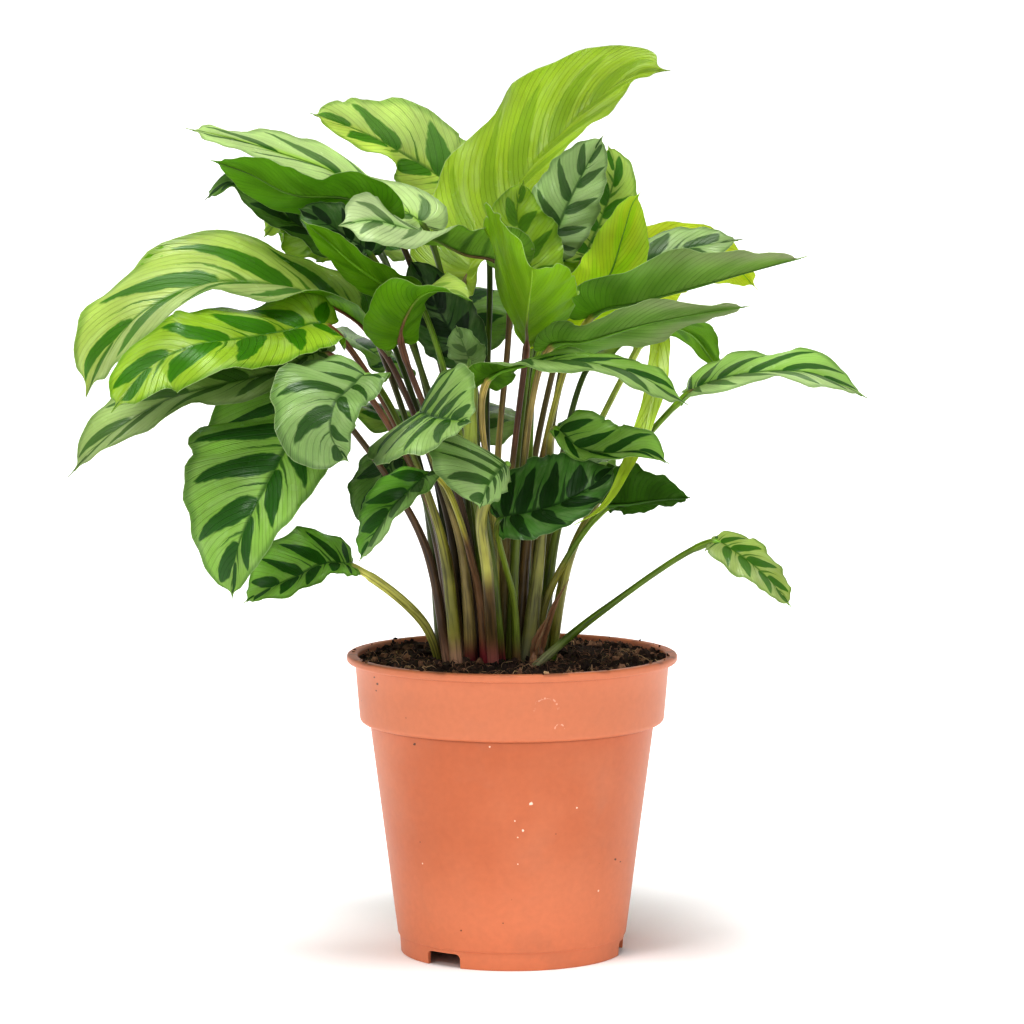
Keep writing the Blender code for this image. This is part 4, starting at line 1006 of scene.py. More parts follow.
def make_piece(name, parts, slots, node):
    """Painted piece from parts, where the number of a part is the number of its material."""
    thing = mesh_object(name, *fuse([(part.points, part.faces) for part in parts]))
    numbers = [number for number, part in enumerate(parts) for _ in part.faces]
    thing.data.polygons.foreach_set("material_index", numbers)
    for layer in parts[0].paint:
        values = [np.asarray(part.paint[layer], float).reshape(-1, 3) for part in parts]
        paint(thing.data, layer, np.concatenate(values))
    thing.data.update()
    finish_piece(thing, slots, SMOOTH_ANGLE, node)


def strip(rows, columns, flip):
    """Quads of a grid of rows and columns of points."""
    row, column = np.meshgrid(np.arange(rows - 1), np.arange(columns - 1), indexing="ij")
    near = (row * columns + column).ravel()
    quads = np.stack([near, near + 1, near + columns + 1, near + columns], -1)
    return quads[:, ::-1] if flip else quads


def shell_faces(rows, columns):
    """Quads of a closed shell from an upper and a lower grid of points."""
    size = rows * columns
    left, top = np.arange(rows) * columns, np.arange(columns)
    edges = []
    rims = ((left, False), (left + columns - 1, True), (top, True), (top + size - columns, False))
    for line, flip in rims:
        rim = np.stack([line[:-1], line[1:], line[1:] + size, line[:-1] + size], -1)
        edges.append(rim[:, ::-1] if flip else rim)
    return np.concatenate([strip(rows, columns, False), strip(rows, columns, True) + size, *edges])


# Leaves


def fine_rows():
    """Shares of the blade's length, closer together towards the base and the tip."""
    even = np.linspace(0.0, 1.0, FINE_ROWS)
    drawn = 0.5 - 0.5 * np.cos(np.pi * even)
    return FIRST_ROW + (LAST_ROW - FIRST_ROW) * (even + END_CROWDING * (drawn - even))


def fine_columns():
    """Signed shares of the half width, closer together at the midrib."""
    even = np.linspace(-1.0, 1.0, 2 * FINE_ACROSS + 1)
    return np.sign(even) * np.abs(even) ** RIB_CROWDING


def blade_colours(leaf, rows, columns):
    """Ground and band colour of each point of the upper sheet, then of the lower one."""
    tone, look = TONES[leaf.tone], leaf.look
    side, along = np.abs(columns)[None, :], rows[:, None]
    # Grey wax, partly painted sheen: each half is turned grey for the sky's reflection on it
    wax_and_sheen = np.where(columns[None, :] < 0, *look.silver) * ease(side, 0.02, 0.3)
    light = look.bright * (1.0 + MARGIN_LIGHT * ease(side, 0.15, 0.7)) * np.ones_like(along)
    bloom = look.pale * ease(along, 0.05, 0.8) * (0.35 + 0.65 * ease(side, 0.3, 1.0))
    tint = np.array([1.0 + look.warm, 1.0, 1.0 - look.warm])
    wax_and_sheen_colour = np.array(WAX_AND_SHEEN_COLOUR) * np.clip(look.bright, 1.0, WAX_AND_SHEEN_LIGHTEST)
    grounds, bands = [], []
    sides = ((tone.ground, tone.band, wax_and_sheen_colour, wax_and_sheen), (tone.under, tone.under_band, BLOOM_COLOUR, bloom))
    for ground, band, coat, film in sides:
        base = blend(tint * ground * light[..., None], coat, film)
        mark = blend(tint * band * light[..., None], coat, BAND_FILM * film)
        mark = base + (mark - base) * look.contrast
        grounds.append(np.minimum(base, LIGHTEST))
        bands.append(np.minimum(mark, LIGHTEST))
    return np.stack(grounds), np.stack(bands)


def ragged_columns(leaf, rows, columns, seed):
    """Columns for each row, drawn in and out to scallop the margin and thin the tip to a thread."""
    along = rows[:, None]
    turn = 2.0 * np.pi * (SCALLOP_COUNT * along + 7.0 * seed)
    uneven = np.sin(turn) + 0.6 * np.sin(1.9 * turn + np.sign(columns)[None, :])
    tail = 1.0 - (1.0 - TAIL_WIDTH) * ease(along, TAIL_START, 1.0)
    shrivelled = DRY_WIDTH if leaf.tone == "dry" else 1.0
    return columns[None, :] * (1.0 + SCALLOP * np.sin(np.pi * along) * uneven) * tail * shrivelled


def blade_relief(leaf, rows, columns, place, seed):
    """How far the blade stands off its smooth surface: frilled margin, pleats and midrib groove."""
    side, mirror, along = np.abs(columns)[None, :], np.sign(columns)[None, :], rows[:, None]
    calm = np.sin(np.pi * along)
    narrow = min(1.0, np.mean(leaf.half) / FULL_HALF_WIDTH)
    slow, quick = FRILL_COUNTS
    turn = 2.0 * np.pi * (along + 0.3 * seed * mirror)
    ripple = np.sin(slow * turn + 9.0 * seed) + 0.4 * np.sin(quick * turn)
    frill = FRILL_HEIGHT * narrow * side**3 * ripple * np.sqrt(calm)
    pleat = PLEAT_HEIGHT * np.cos(2.0 * np.pi * (place + HALF_OFFSET * (mirror > 0)))
    pleat = pleat * narrow * 4.0 * side * (1.0 - side) * calm
    groove = -GROOVE_DEPTH * np.exp(-((side * np.mean(leaf.half) / GROOVE_WIDTH) ** 2)) * calm
    return (frill + pleat + groove)[..., None]


def blade_part(leaf, track, seed):
    """Fine closed blade: two sheets that meet in a thin margin, pleated along its side veins."""
    look, rows, columns = leaf.look, fine_rows(), fine_columns()
    side, along = np.abs(columns)[None, :], rows[:, None]
    grid = blade_grid(leaf, track, rows, ragged_columns(leaf, rows, columns, seed))
    hint = track.blade_frame(rows * track.length)[2][:, None, :]
    normals = grid_normals(grid, hint)
    place = look.bands * (along - look.sweep * side)
    grid = grid + normals * blade_relief(leaf, rows, columns, place, seed)
    thick = MARGIN_HALF_THICK + (BLADE_HALF_THICK - MARGIN_HALF_THICK) * (1.0 - side**6)
    thick = (thick * np.ones_like(along))[..., None]
    sheets = np.stack([grid + normals * thick, grid - normals * thick])
    vein = np.stack(np.broadcast_arrays(place + 10.0 * seed, columns[None, :], along), -1)
    ground, band = blade_colours(leaf, rows, columns)
    form = np.zeros_like(sheets) + (look.width, look.reach, 0.0)
    form[1, ..., 2] = 1.0
    layers = {"ground": ground, "band": band, "vein": np.stack([vein, vein]), "form": form}
    return Part(sheets.reshape(-1, 3), shell_faces(len(rows), len(columns)), layers)


def stalk_width(look, track, distance):
    """Radius of the stalk, the joint and then the midrib, at distances from the joint."""
    share = np.clip(1.0 + distance / track.stalk_length, 0.0, 1.0)
    wide, thin = SHEATH_RADIUS * look.girth, STALK_RADIUS * look.stem
    sheath = wide + (thin - wide) * ease(share, 0.04, SHEATH_SHARE)
    joint = (JOINT_RADIUS - thin) * ease(distance, -JOINT_LENGTH - 2.0, -JOINT_LENGTH + 2.0)
    rib = np.clip(distance / track.length, 0.0, 1.0)
    taper = RIB_TIP_RADIUS + (RIB_RADIUS - RIB_TIP_RADIUS) * (1.0 - rib)
    beyond = ease(distance, 0.0, RIB_MERGE)
    return (sheath + joint) * (1.0 - beyond) + taper * beyond


def stalk_paint(leaf, track, distance, height, seed):
    """Colour of the stalk from the soil to the joint, and of the midrib beyond it."""
    look = leaf.look
    tone_and_back_shade = STALK_DARKEST + STALK_RANGE * ((7.3 * seed) % 1.0)
    # Painted shade on the rear stalks, over each stalk's own random lightness
    tone_and_back_shade *= 1.0 - BACK_SHADE * float(ease(leaf.root[1], *BACK_ROWS))
    share = np.clip(1.0 + distance / track.stalk_length, 0.0, 1.0)
    foot, middle, top = (STALK_COLOURS[hue] for hue in look.hues)
    body = blend(foot, middle, ease(height, ROOT_HEIGHT + FOOT_RISE, ROOT_HEIGHT + 2.2 * FOOT_RISE))
    body = blend(body, top, ease(share, look.body_end - 0.03, look.body_end + 0.09))
    joint = ease(distance, -JOINT_LENGTH - 1.0, -JOINT_LENGTH + 1.0)
    body = blend(body, np.asarray(top) * JOINT_LIGHT, joint)
    low, high = FOOT_SHADOW
    shadow = 1.0 - FOOT_SHADE * (1.0 - ease(height, ROOT_HEIGHT + low, ROOT_HEIGHT + high))
    under = TONES[leaf.tone].under
    rib = under if look.rib == "green" else STALK_COLOURS[look.rib]
    rib_line = blend(np.asarray(rib) * RIB_LIGHT, under, ease(distance / track.length, 0.1, 0.6))
    return np.where((distance > 0)[..., None], rib_line, body * tone_and_back_shade * shadow[..., None])


def stalk_part(leaf, track, seed):
    """Stalk, joint and midrib as one round tube that runs on under the blade."""
    below = np.linspace(-track.stalk_length, 0.0, STALK_RINGS)
    above = np.linspace(0.0, track.length * RIB_END, RIB_RINGS)[1:]
    distance = np.concatenate([below, above])
    place, tangent, normal = track.frame(distance)
    right = np.cross(tangent, normal)
    radius = stalk_width(leaf.look, track, distance)
    sink = np.where(distance > 0, radius + GROOVE_DEPTH, 0.0) * ease(distance, 0.0, 5.0)
    centre = place - normal * sink[:, None]
    turns = 2.0 * np.pi * np.arange(STALK_SIDES) / STALK_SIDES
    flat = 1.0 - SHEATH_FLAT * (1.0 - ease(distance / track.stalk_length, -1.0, -0.5))
    ribbing = 1.0 + SHEATH_RIBS * np.cos(3.0 * turns)[None, :] * (distance < -JOINT_LENGTH)[:, None]
    wide = radius[:, None] * np.cos(turns)[None, :] * ribbing
    deep = radius[:, None] * np.sin(turns)[None, :] * flat[:, None] * ribbing
    rings = centre[:, None] + right[:, None] * wide[..., None] + normal[:, None] * deep[..., None]
    spread = np.repeat(distance[:, None], STALK_SIDES, axis=1)
    height = np.repeat(centre[:, 2:3], STALK_SIDES, axis=1)
    colours = stalk_paint(leaf, track, spread, height, seed)
    around = np.broadcast_to(turns / (2.0 * np.pi), spread.shape)
    vein = np.stack([around, spread * STREAK_SLOWNESS, spread / track.stalk_length], -1)
    form = np.zeros_like(vein) + (seed, 0.0, 0.0)
    layers = {"ground": colours, "band": colours * STREAK_DARK, "vein": vein, "form": form}
    return Part(*tube(rings), layers)


def make_leaves(blade_slot, stalk_slot):
    """A fine leaf for each packed one."""
    for number, leaf in enumerate(LEAVES):
        seed = (number * GOLDEN) % 1.0
        track = Track(leaf)
        parts = [blade_part(leaf, track, seed), stalk_part(leaf, track, seed)]
        make_piece(f"{leaf.name}_fine", parts, [blade_slot, stalk_slot], leaf.name)


# Pot


def arc(centre, radius, start, end, count):
    """Points of an arc in the profile's plane, turning from start to end in degrees."""
    turns = np.radians(np.linspace(start, end, count))
    return [(centre[0] + radius * math.cos(turn), centre[1] + radius * math.sin(turn)) for turn in turns]


def level_ring(radius, height, count):
    """Points of a level ring round the pot's axis, or one point where the radius is nothing."""
    turns = 2.0 * np.pi * np.arange(count if radius else 1) / count
    return np.stack([radius * np.cos(turns), radius * np.sin(turns), np.full(len(turns), height)], -1)


def pot_profile():
    """Half section of the pot: foot, body, ledge, collar and lip outside, then the inside."""
    inner_collar = COLLAR_LOW_RADIUS - WALL
    lip_low = POT_HEIGHT - LIP_HEIGHT
    foot_inside = FOOT_RADIUS - FOOT_THICK
    lip_inside = COLLAR_TOP_RADIUS - WALL
    return [
        (0.0, 0.0),
        *arc((MIDDLE_FOOT_RADIUS - EDGE_ROUND, EDGE_ROUND), EDGE_ROUND, -90, 0, 4),
        (MIDDLE_FOOT_RADIUS - 0.8, FLOOR_HEIGHT),
        (foot_inside, FLOOR_HEIGHT),
        (foot_inside, 0.3),
        *arc((FOOT_RADIUS - EDGE_ROUND, EDGE_ROUND), EDGE_ROUND, -90, 0, 4),
        (FOOT_RADIUS + 0.5, FOOT_HEIGHT),
        (BODY_LOW_RADIUS - 0.3, FOOT_HEIGHT + 0.2),
        (BODY_LOW_RADIUS, FOOT_HEIGHT + 0.8),
        (BODY_TOP_RADIUS - 0.1, LEDGE_HEIGHT - 0.6),
        (BODY_TOP_RADIUS + 0.5, LEDGE_HEIGHT),
        *arc((COLLAR_LOW_RADIUS - LEDGE_ROUND, LEDGE_HEIGHT + LEDGE_ROUND), LEDGE_ROUND, -90, 0, 7),
        (COLLAR_TOP_RADIUS - 0.2, lip_low - 0.5),
        (COLLAR_TOP_RADIUS + 0.2, lip_low),
        *arc((LIP_RADIUS - LIP_ROUND, lip_low + LIP_ROUND), LIP_ROUND, -90, 0, 5),
        *arc((LIP_RADIUS - LIP_ROUND, POT_HEIGHT - LIP_ROUND), LIP_ROUND, 0, 90, 5),
        *arc((lip_inside + LIP_ROUND, POT_HEIGHT - LIP_ROUND), LIP_ROUND, 90, 180, 5),
        (inner_collar, LEDGE_HEIGHT + LEDGE_ROUND),
        (BODY_TOP_RADIUS - WALL, LEDGE_HEIGHT + 0.5 * WALL),
        (BODY_LOW_RADIUS - WALL, FLOOR_HEIGHT + FLOOR_THICK),
        (0.0, FLOOR_HEIGHT + FLOOR_THICK),
    ]


def close_rows(profile, longest):
    """The profile with its long stretches divided, so that no row is longer than longest."""
    rows = [profile[0]]
    for low, high in zip(profile[:-1], profile[1:]):
        steps = max(1, math.ceil(math.dist(low, high) / longest))
        for step in range(1, steps + 1):
            share = step / steps
            rows.append(tuple(a + (b - a) * share for a, b in zip(low, high)))
    return rows


def notch_cutters():
    """Drainage notches through the foot ring, with rounded upper corners."""
    half, top, bend = NOTCH_WIDTH / 2.0, NOTCH_HEIGHT, NOTCH_ROUND
    outline = [
        (-half, -1.0),
        (half, -1.0),
        *arc((half - bend, top - bend), bend, 0, 90, 6),
        *arc((bend - half, top - bend), bend, 90, 180, 6),
    ]
    solids = []
    for angle in np.radians(NOTCH_AZIMUTHS):
        outward = np.array([math.cos(angle), math.sin(angle), 0.0])
        sideways = np.array([-math.sin(angle), math.cos(angle), 0.0])
        start = outward * (FOOT_RADIUS - NOTCH_REACH)
        base = np.array([start + sideways * side + (0.0, 0.0, rise) for side, rise in outline])
        solids.append(tube([base, base + outward * 2.0 * NOTCH_REACH]))
    return solids


def drain_cutters():
    """Drain holes through the raised floor."""
    solids = []
    for hole in range(DRAIN_COUNT):
        angle = 2.0 * math.pi * (hole + 0.5) / DRAIN_COUNT
        centre = (DRAIN_CIRCLE * math.cos(angle), DRAIN_CIRCLE * math.sin(angle))
        rim = arc(centre, DRAIN_RADIUS, 0, 360, DRAIN_SIDES + 1)[:-1]
        base = np.array([(*point, FLOOR_HEIGHT - 1.0) for point in rim])
        solids.append(tube([base, base + (0.0, 0.0, FLOOR_THICK + 2.0)]))
    return solids


def face_outward(mesh):
    """Turn the faces of a closed mesh to look outward."""
    shape = bmesh.new()
    shape.from_mesh(mesh)
    bmesh.ops.recalc_face_normals(shape, faces=shape.faces)
    shape.to_mesh(mesh)
    shape.free()


def cut(thing, solids):
    """Take a set of separate solids out of an object."""
    cutter = mesh_object(f"{thing.name}_cutter", *fuse(solids))
    face_outward(cutter.data)
    boolean = thing.modifiers.new("cut", "BOOLEAN")
    boolean.operation = "DIFFERENCE"
    boolean.solver = "EXACT"
    boolean.object = cutter
    view = bpy.context.evaluated_depsgraph_get()
    mesh = bpy.data.meshes.new_from_object(thing.evaluated_get(view))
    thing.modifiers.clear()
    thing.data = mesh
    bpy.data.objects.remove(cutter, do_unlink=True)


def make_pot(slot):
    """Moulded pot with a stepped collar and a rounded lip."""
    profile = close_rows(pot_profile(), POT_ROW)
    rings = [level_ring(radius, height, POT_SIDES) for radius, height in profile]
    pot = mesh_object("pot_fine", np.concatenate(rings), skin(rings, flip=True))
    face_outward(pot.data)
    cut(pot, notch_cutters() + drain_cutters())
    pot.data.materials.clear()
    finish_piece(pot, [slot], POT_SMOOTH_ANGLE, "pot")


# Soil


def soil_height(x, y):
    """Height of the soil's top: a low mound behind the crown, with lumps and grains."""
    share = max(0.0, 1.0 - (math.hypot(x, y) / SOIL_RADIUS) ** 2)
    mound = SOIL_MOUND * share * max(0.0, math.sin(math.atan2(y, x)))
    height = SOIL_EDGE_HEIGHT + (SOIL_CROWN_HEIGHT - SOIL_EDGE_HEIGHT) * share + mound
    for rise, size, layer in SOIL_LUMPS:
        height += rise * noise.noise((x / size, y / size, layer))
    return height


def ground_piece(name, solids, tones, slot, node=None):
    """Piece of soil from solids, with a colour for each."""
    colours = [np.broadcast_to(tone, (len(solid[0]), 3)) for solid, tone in zip(solids, tones)]
    part = Part(*fuse(solids), {"ground": np.concatenate(colours)})
    make_piece(name, [part], [slot], node)


def make_soil(slot):
    """Crumbly soil that fills the pot to just under its lip."""
    gap = WALL + SOIL_GAP
    taper = (COLLAR_TOP_RADIUS - COLLAR_LOW_RADIUS) / (POT_HEIGHT - LEDGE_HEIGHT)
    edge = COLLAR_LOW_RADIUS - gap + taper * (SOIL_EDGE_HEIGHT - LEDGE_HEIGHT - LEDGE_ROUND)
    radii = [edge * number / SOIL_RINGS for number in range(SOIL_RINGS + 1)]
    rings = [level_ring(radius, 0.0, SOIL_SPOKES) for radius in radii]
    for ring in rings:
        ring[:, 2] = [soil_height(x, y) for x, y, _ in ring]
    sides = (
        (COLLAR_LOW_RADIUS - gap, LEDGE_HEIGHT + LEDGE_ROUND + SOIL_GAP),
        (BODY_TOP_RADIUS - gap, LEDGE_HEIGHT + 0.5 * WALL),
        (BODY_LOW_RADIUS - gap - SOIL_GAP, FLOOR_HEIGHT + FLOOR_THICK + SOIL_GAP),
    )
    rings += [level_ring(radius, height, SOIL_SPOKES) for radius, height in sides]
    points = np.concatenate(rings)
    bottom = tuple(range(len(points) - SOIL_SPOKES, len(points)))[::-1]
    solid = (points, skin(rings, flip=True) + [bottom])
    ground_piece("soil_fine", [solid], [SOIL_DARK], slot, "soil")


def crumb_places(draw):
    """Places of crumbs over the soil, more of them round the edge, and a few on the pot's lip."""
    for number in range(CRUMB_COUNT):
        turn = draw.uniform(0.0, 2.0 * math.pi)
        radius = SOIL_RADIUS * math.sqrt(draw.uniform(0.0, 1.0))
        if number % EDGE_CRUMB_EVERY == 0:
            radius = draw.uniform(*EDGE_CRUMB_RADII)
        x, y = radius * math.cos(turn), radius * math.sin(turn)
        yield x, y, soil_height(x, y), 1.0
    for number in range(RIM_CRUMBS):
        turn, radius = draw.uniform(0.0, 2.0 * math.pi), draw.uniform(*RIM_CRUMB_RADII)
        yield radius * math.cos(turn), radius * math.sin(turn), POT_HEIGHT, RIM_CRUMB_SCALE


def make_crumbs(slot):
    """Loose crumbs of peat and bark, fused into one crust on the soil."""
    draw = np.random.default_rng(CRUMB_SEED)
    ball = bmesh.new()
    bmesh.ops.create_icosphere(ball, subdivisions=2, radius=1.0)
    shape = np.array([vertex.co for vertex in ball.verts])
    faces = [tuple(vertex.index for vertex in face.verts) for face in ball.faces]
    ball.free()
    crumbs, tones = [], []
    for number, (x, y, level, scale) in enumerate(crumb_places(draw)):
        size = scale * (CRUMB_SMALL + (CRUMB_LARGE - CRUMB_SMALL) * draw.uniform() ** 3)
        squash = draw.uniform(CRUMB_FLATTEST, 1.0, 3)
        spots = (shape + number * 3.7) * CRUMB_GRAIN
        rough = [1.0 + CRUMB_ROUGH * noise.noise(spot) for spot in spots]
        blob = shape * np.array(rough)[:, None] * squash * size
        spin = draw.uniform(0.0, math.pi)
        across, along = math.cos(spin), math.sin(spin)
        blob = blob @ [[across, along, 0.0], [-along, across, 0.0], [0.0, 0.0, 1.0]]
        rise = level + size * draw.uniform(-0.1, 0.6)
        crumbs.append((blob + (x, y, rise), faces))
        tone = (SOIL_DARK, SOIL_BROWN, SOIL_TAN)[np.searchsorted(CRUMB_SHARES, draw.uniform())]
        tones.append(np.array(tone) * draw.uniform(*CRUMB_TONES))
    ground_piece("soil_crumbs", crumbs, tones, slot)


def fibre_rings(draw):
    """Rings of points along one fibre, which lies on the soil in a slight bend."""
    turn, radius = draw.uniform(0.0, 2.0 * math.pi), FIBRE_SPREAD * math.sqrt(draw.uniform())
    heading, bend = draw.uniform(0.0, 2.0 * math.pi), draw.uniform(-FIBRE_BEND, FIBRE_BEND)
    length = draw.uniform(*FIBRE_LENGTHS)
    x, y = radius * math.cos(turn), radius * math.sin(turn)
    thick, lift = draw.uniform(*FIBRE_RADII), draw.uniform(*FIBRE_LIFTS)
    turns = 2.0 * np.pi * np.arange(FIBRE_SIDES) / FIBRE_SIDES
    across, up = np.cos(turns)[:, None], np.sin(turns)[:, None] * (0.0, 0.0, 1.0)
    rings = []
    for share in np.linspace(0.0, 1.0, FIBRE_STEPS):
        reach = min(1.0, SOIL_RADIUS / max(1.0, math.hypot(x, y)))
        x, y = x * reach, y * reach
        middle = (x, y, soil_height(x, y) + 0.5 + lift * math.sin(math.pi * share))
        sideways = np.array([-math.sin(heading), math.cos(heading), 0.0])
        rings.append(middle + (across * sideways + up) * thick * (1.0 - FIBRE_TAPER * share))
        x += math.cos(heading) * length / FIBRE_STEPS
        y += math.sin(heading) * length / FIBRE_STEPS
        heading += bend
    return rings


def make_fibres(slot):
    """Thin roots and straw-coloured fibres that lie on the soil."""
    draw = np.random.default_rng(FIBRE_SEED)
    fibres, tones = [], []
    for _ in range(FIBRE_COUNT):
        fibres.append(tube(fibre_rings(draw)))
        tone = SOIL_TAN if draw.uniform() < TAN_FIBRES else SOIL_BROWN
        tones.append(np.array(tone) * draw.uniform(*FIBRE_TONES))
    ground_piece("soil_fibres", fibres, tones, slot)


# Materials


class Value:
    """Number that a material works out at each point, so that sums of nodes read as sums."""

    def __init__(self, graph, socket):
        self.graph, self.socket = graph, socket

    def __add__(self, other):
        return self.graph.math("ADD", self, other)

    def __sub__(self, other):
        return self.graph.math("SUBTRACT", self, other)

    def __rsub__(self, other):
        return self.graph.math("SUBTRACT", other, self)

    def __mul__(self, other):
        return self.graph.math("MULTIPLY", self, other)

    def __truediv__(self, other):
        return self.graph.math("DIVIDE", self, other)

    def __pow__(self, other):
        return self.graph.math("POWER", self, other)

    def __abs__(self):
        return self.graph.math("ABSOLUTE", self)

    def __gt__(self, other):
        return self.graph.math("GREATER_THAN", self, other)

    def __lt__(self, other):
        return self.graph.math("LESS_THAN", self, other)


class Graph:
    """Short calls for a material's nodes."""

    def __init__(self, name):
        self.slot = bpy.data.materials.new(name)
        self.slot.use_nodes = True
        self.tree = self.slot.node_tree
        self.shader = self.tree.nodes["Principled BSDF"]
        self.output = self.tree.nodes["Material Output"]

    def node(self, kind, **settings):
        """New node of a kind, with its settings."""
        made = self.tree.nodes.new(kind)
        for key, value in settings.items():
            setattr(made, key, value)
        return made

    def wire(self, source, target):
        """Join a value or socket to a socket, or set a plain number or colour."""
        source = source.socket if isinstance(source, Value) else source
        if isinstance(source, bpy.types.NodeSocket):
            self.tree.links.new(source, target)
        else:
            target.default_value = source

    def value(self, made, sources, output=0):
        """Wire sources to a node's first sockets, and give one of its outputs as a number."""
        for socket, source in zip(made.inputs, sources):
            self.wire(source, socket)
        return Value(self, made.outputs[output])

    def math(self, operation, *values):
        """Result of a math node."""
        return self.value(self.node("ShaderNodeMath", operation=operation), values)

    def read(self, name, output="Vector"):
        """Attribute stored on the points of the mesh."""
        return self.node("ShaderNodeAttribute", attribute_name=name).outputs[output]

    def split(self, vector):
        """The three parts of a vector."""
        made = self.node("ShaderNodeSeparateXYZ")
        self.wire(vector, made.inputs[0])
        return [Value(self, socket) for socket in made.outputs]

    def join(self, x, y, z):
        """Vector from three parts."""
        return self.value(self.node("ShaderNodeCombineXYZ"), (x, y, z))

    def step(self, value, low, high, start=0.0, end=1.0):
        """Smooth step of a value, from start at low to end at high."""
        made = self.node("ShaderNodeMapRange", interpolation_type="SMOOTHSTEP", clamp=True)
        return self.value(made, (value, low, high, start, end))

    def mix(self, share, first, second, how="MIX"):
        """Colour between two."""
        made = self.node("ShaderNodeMix", data_type="RGBA", blend_type=how)
        self.wire(share, made.inputs["Factor"])
        colours = [socket for socket in made.inputs if socket.type == "RGBA"]
        for socket, value in zip(colours, (first, second)):
            self.wire((*value, 1.0) if isinstance(value, tuple) else value, socket)
        return [socket for socket in made.outputs if socket.type == "RGBA"][0]

    def shade(self, colour, share):
        """Colour made darker or lighter by a number."""
        return self.mix(1.0, colour, self.join(share, share, share), "MULTIPLY")

    def noise(self, vector, scale, detail=2.0):
        """Noise at a place, mostly between 0.3 and 0.7."""
        made = self.node("ShaderNodeTexNoise")
        made.inputs["Scale"].default_value = scale
        made.inputs["Detail"].default_value = detail
        return self.value(made, (vector,))

    def place(self):
        """Place on the object, in metres."""
        return self.node("ShaderNodeTexCoord").outputs["Object"]

    def bump(self, height, distance, strength):
        """Bend the surface by a height, and give the normal that this makes."""
        made = self.node("ShaderNodeBump")
        made.inputs["Strength"].default_value = strength
        made.inputs["Distance"].default_value = distance
        self.wire(height, made.inputs["Height"])
        self.wire(made.outputs[0], self.shader.inputs["Normal"])
        return made.outputs[0]

    def set(self, **values):
        """Wire or set the shader's sockets, with _ for a space in their names."""
        for name, value in values.items():
            self.wire(value, self.shader.inputs[name.replace("_", " ")])


def fraction(value):
    """Distance of a value above the whole number below it."""
    return value.graph.math("FRACT", value)


def band_share(graph, phase, side, right, form):
    """How far a point of the blade lies in a dark band, from 0 to 1."""
    width, reach, below = form
    ragged = (graph.noise(graph.place(), scale=170.0, detail=3.0) - 0.5) * BAND_RAGGED
    place = phase + right * HALF_OFFSET + ragged
    draw = graph.node("ShaderNodeTexWhiteNoise", noise_dimensions="2D")
    graph.wire(graph.join(graph.math("FLOOR", place), right, 0.0), draw.inputs["Vector"])
    drawn = Value(graph, draw.outputs["Value"])
    off = abs(fraction(place) - 0.5 + (drawn - 0.5) * BAND_SHIFT)
    far = side / (reach - drawn * BAND_SHORTER)
    end = graph.math("MAXIMUM", 1.0 - far, 0.0) ** BAND_POINT
    half = graph.step(side, -0.26, 0.32) * end * (width * (drawn * BAND_WIDER + BAND_WIDTH))
    soft = below * UNDER_SOFT + BAND_SOFT
    main = graph.step(off, half - soft, half + soft, 1.0, 0.0)
    main = main * graph.step(far, 0.92, 1.05, 1.0, 0.25)
    short = side / (drawn * 0.35 + 0.35)
    thin = (1.0 - short) * (width * 0.3)
    between = abs(fraction(place + 0.5) - 0.5)
    small = graph.step(between, thin - 0.03, thin + 0.02, 0.85, 0.0)
    small = small * graph.step(short, 0.9, 1.1, 1.0, 0.0) * (drawn > SMALL_BANDS)
    return graph.math("MAXIMUM", main, small) * graph.step(width, 0.0, 0.05)


def wax_and_sheen_ground(graph, phase, side, along, below):
    """Ground of the blade, with pale streaks along its side veins: wax, and painted sheen where gloss
    would catch the light.
    """
    streak = graph.noise(graph.join(phase * 2.4, side * 1.6, along), scale=1.0, detail=3.0)
    streak = graph.step(streak, 0.46, 0.72) * (WAX_AND_SHEEN_STREAK_SHARE - below * UNDER_STREAK)
    ground = graph.read("ground", "Color")
    # Paler, greyer ground for the streaks: wax and painted sheen
    pale = graph.mix(1.0, graph.mix(0.5, ground, WAX_AND_SHEEN_COLOUR), (1.25, 1.25, 1.25), "MULTIPLY")
    return graph.mix(streak, ground, pale)


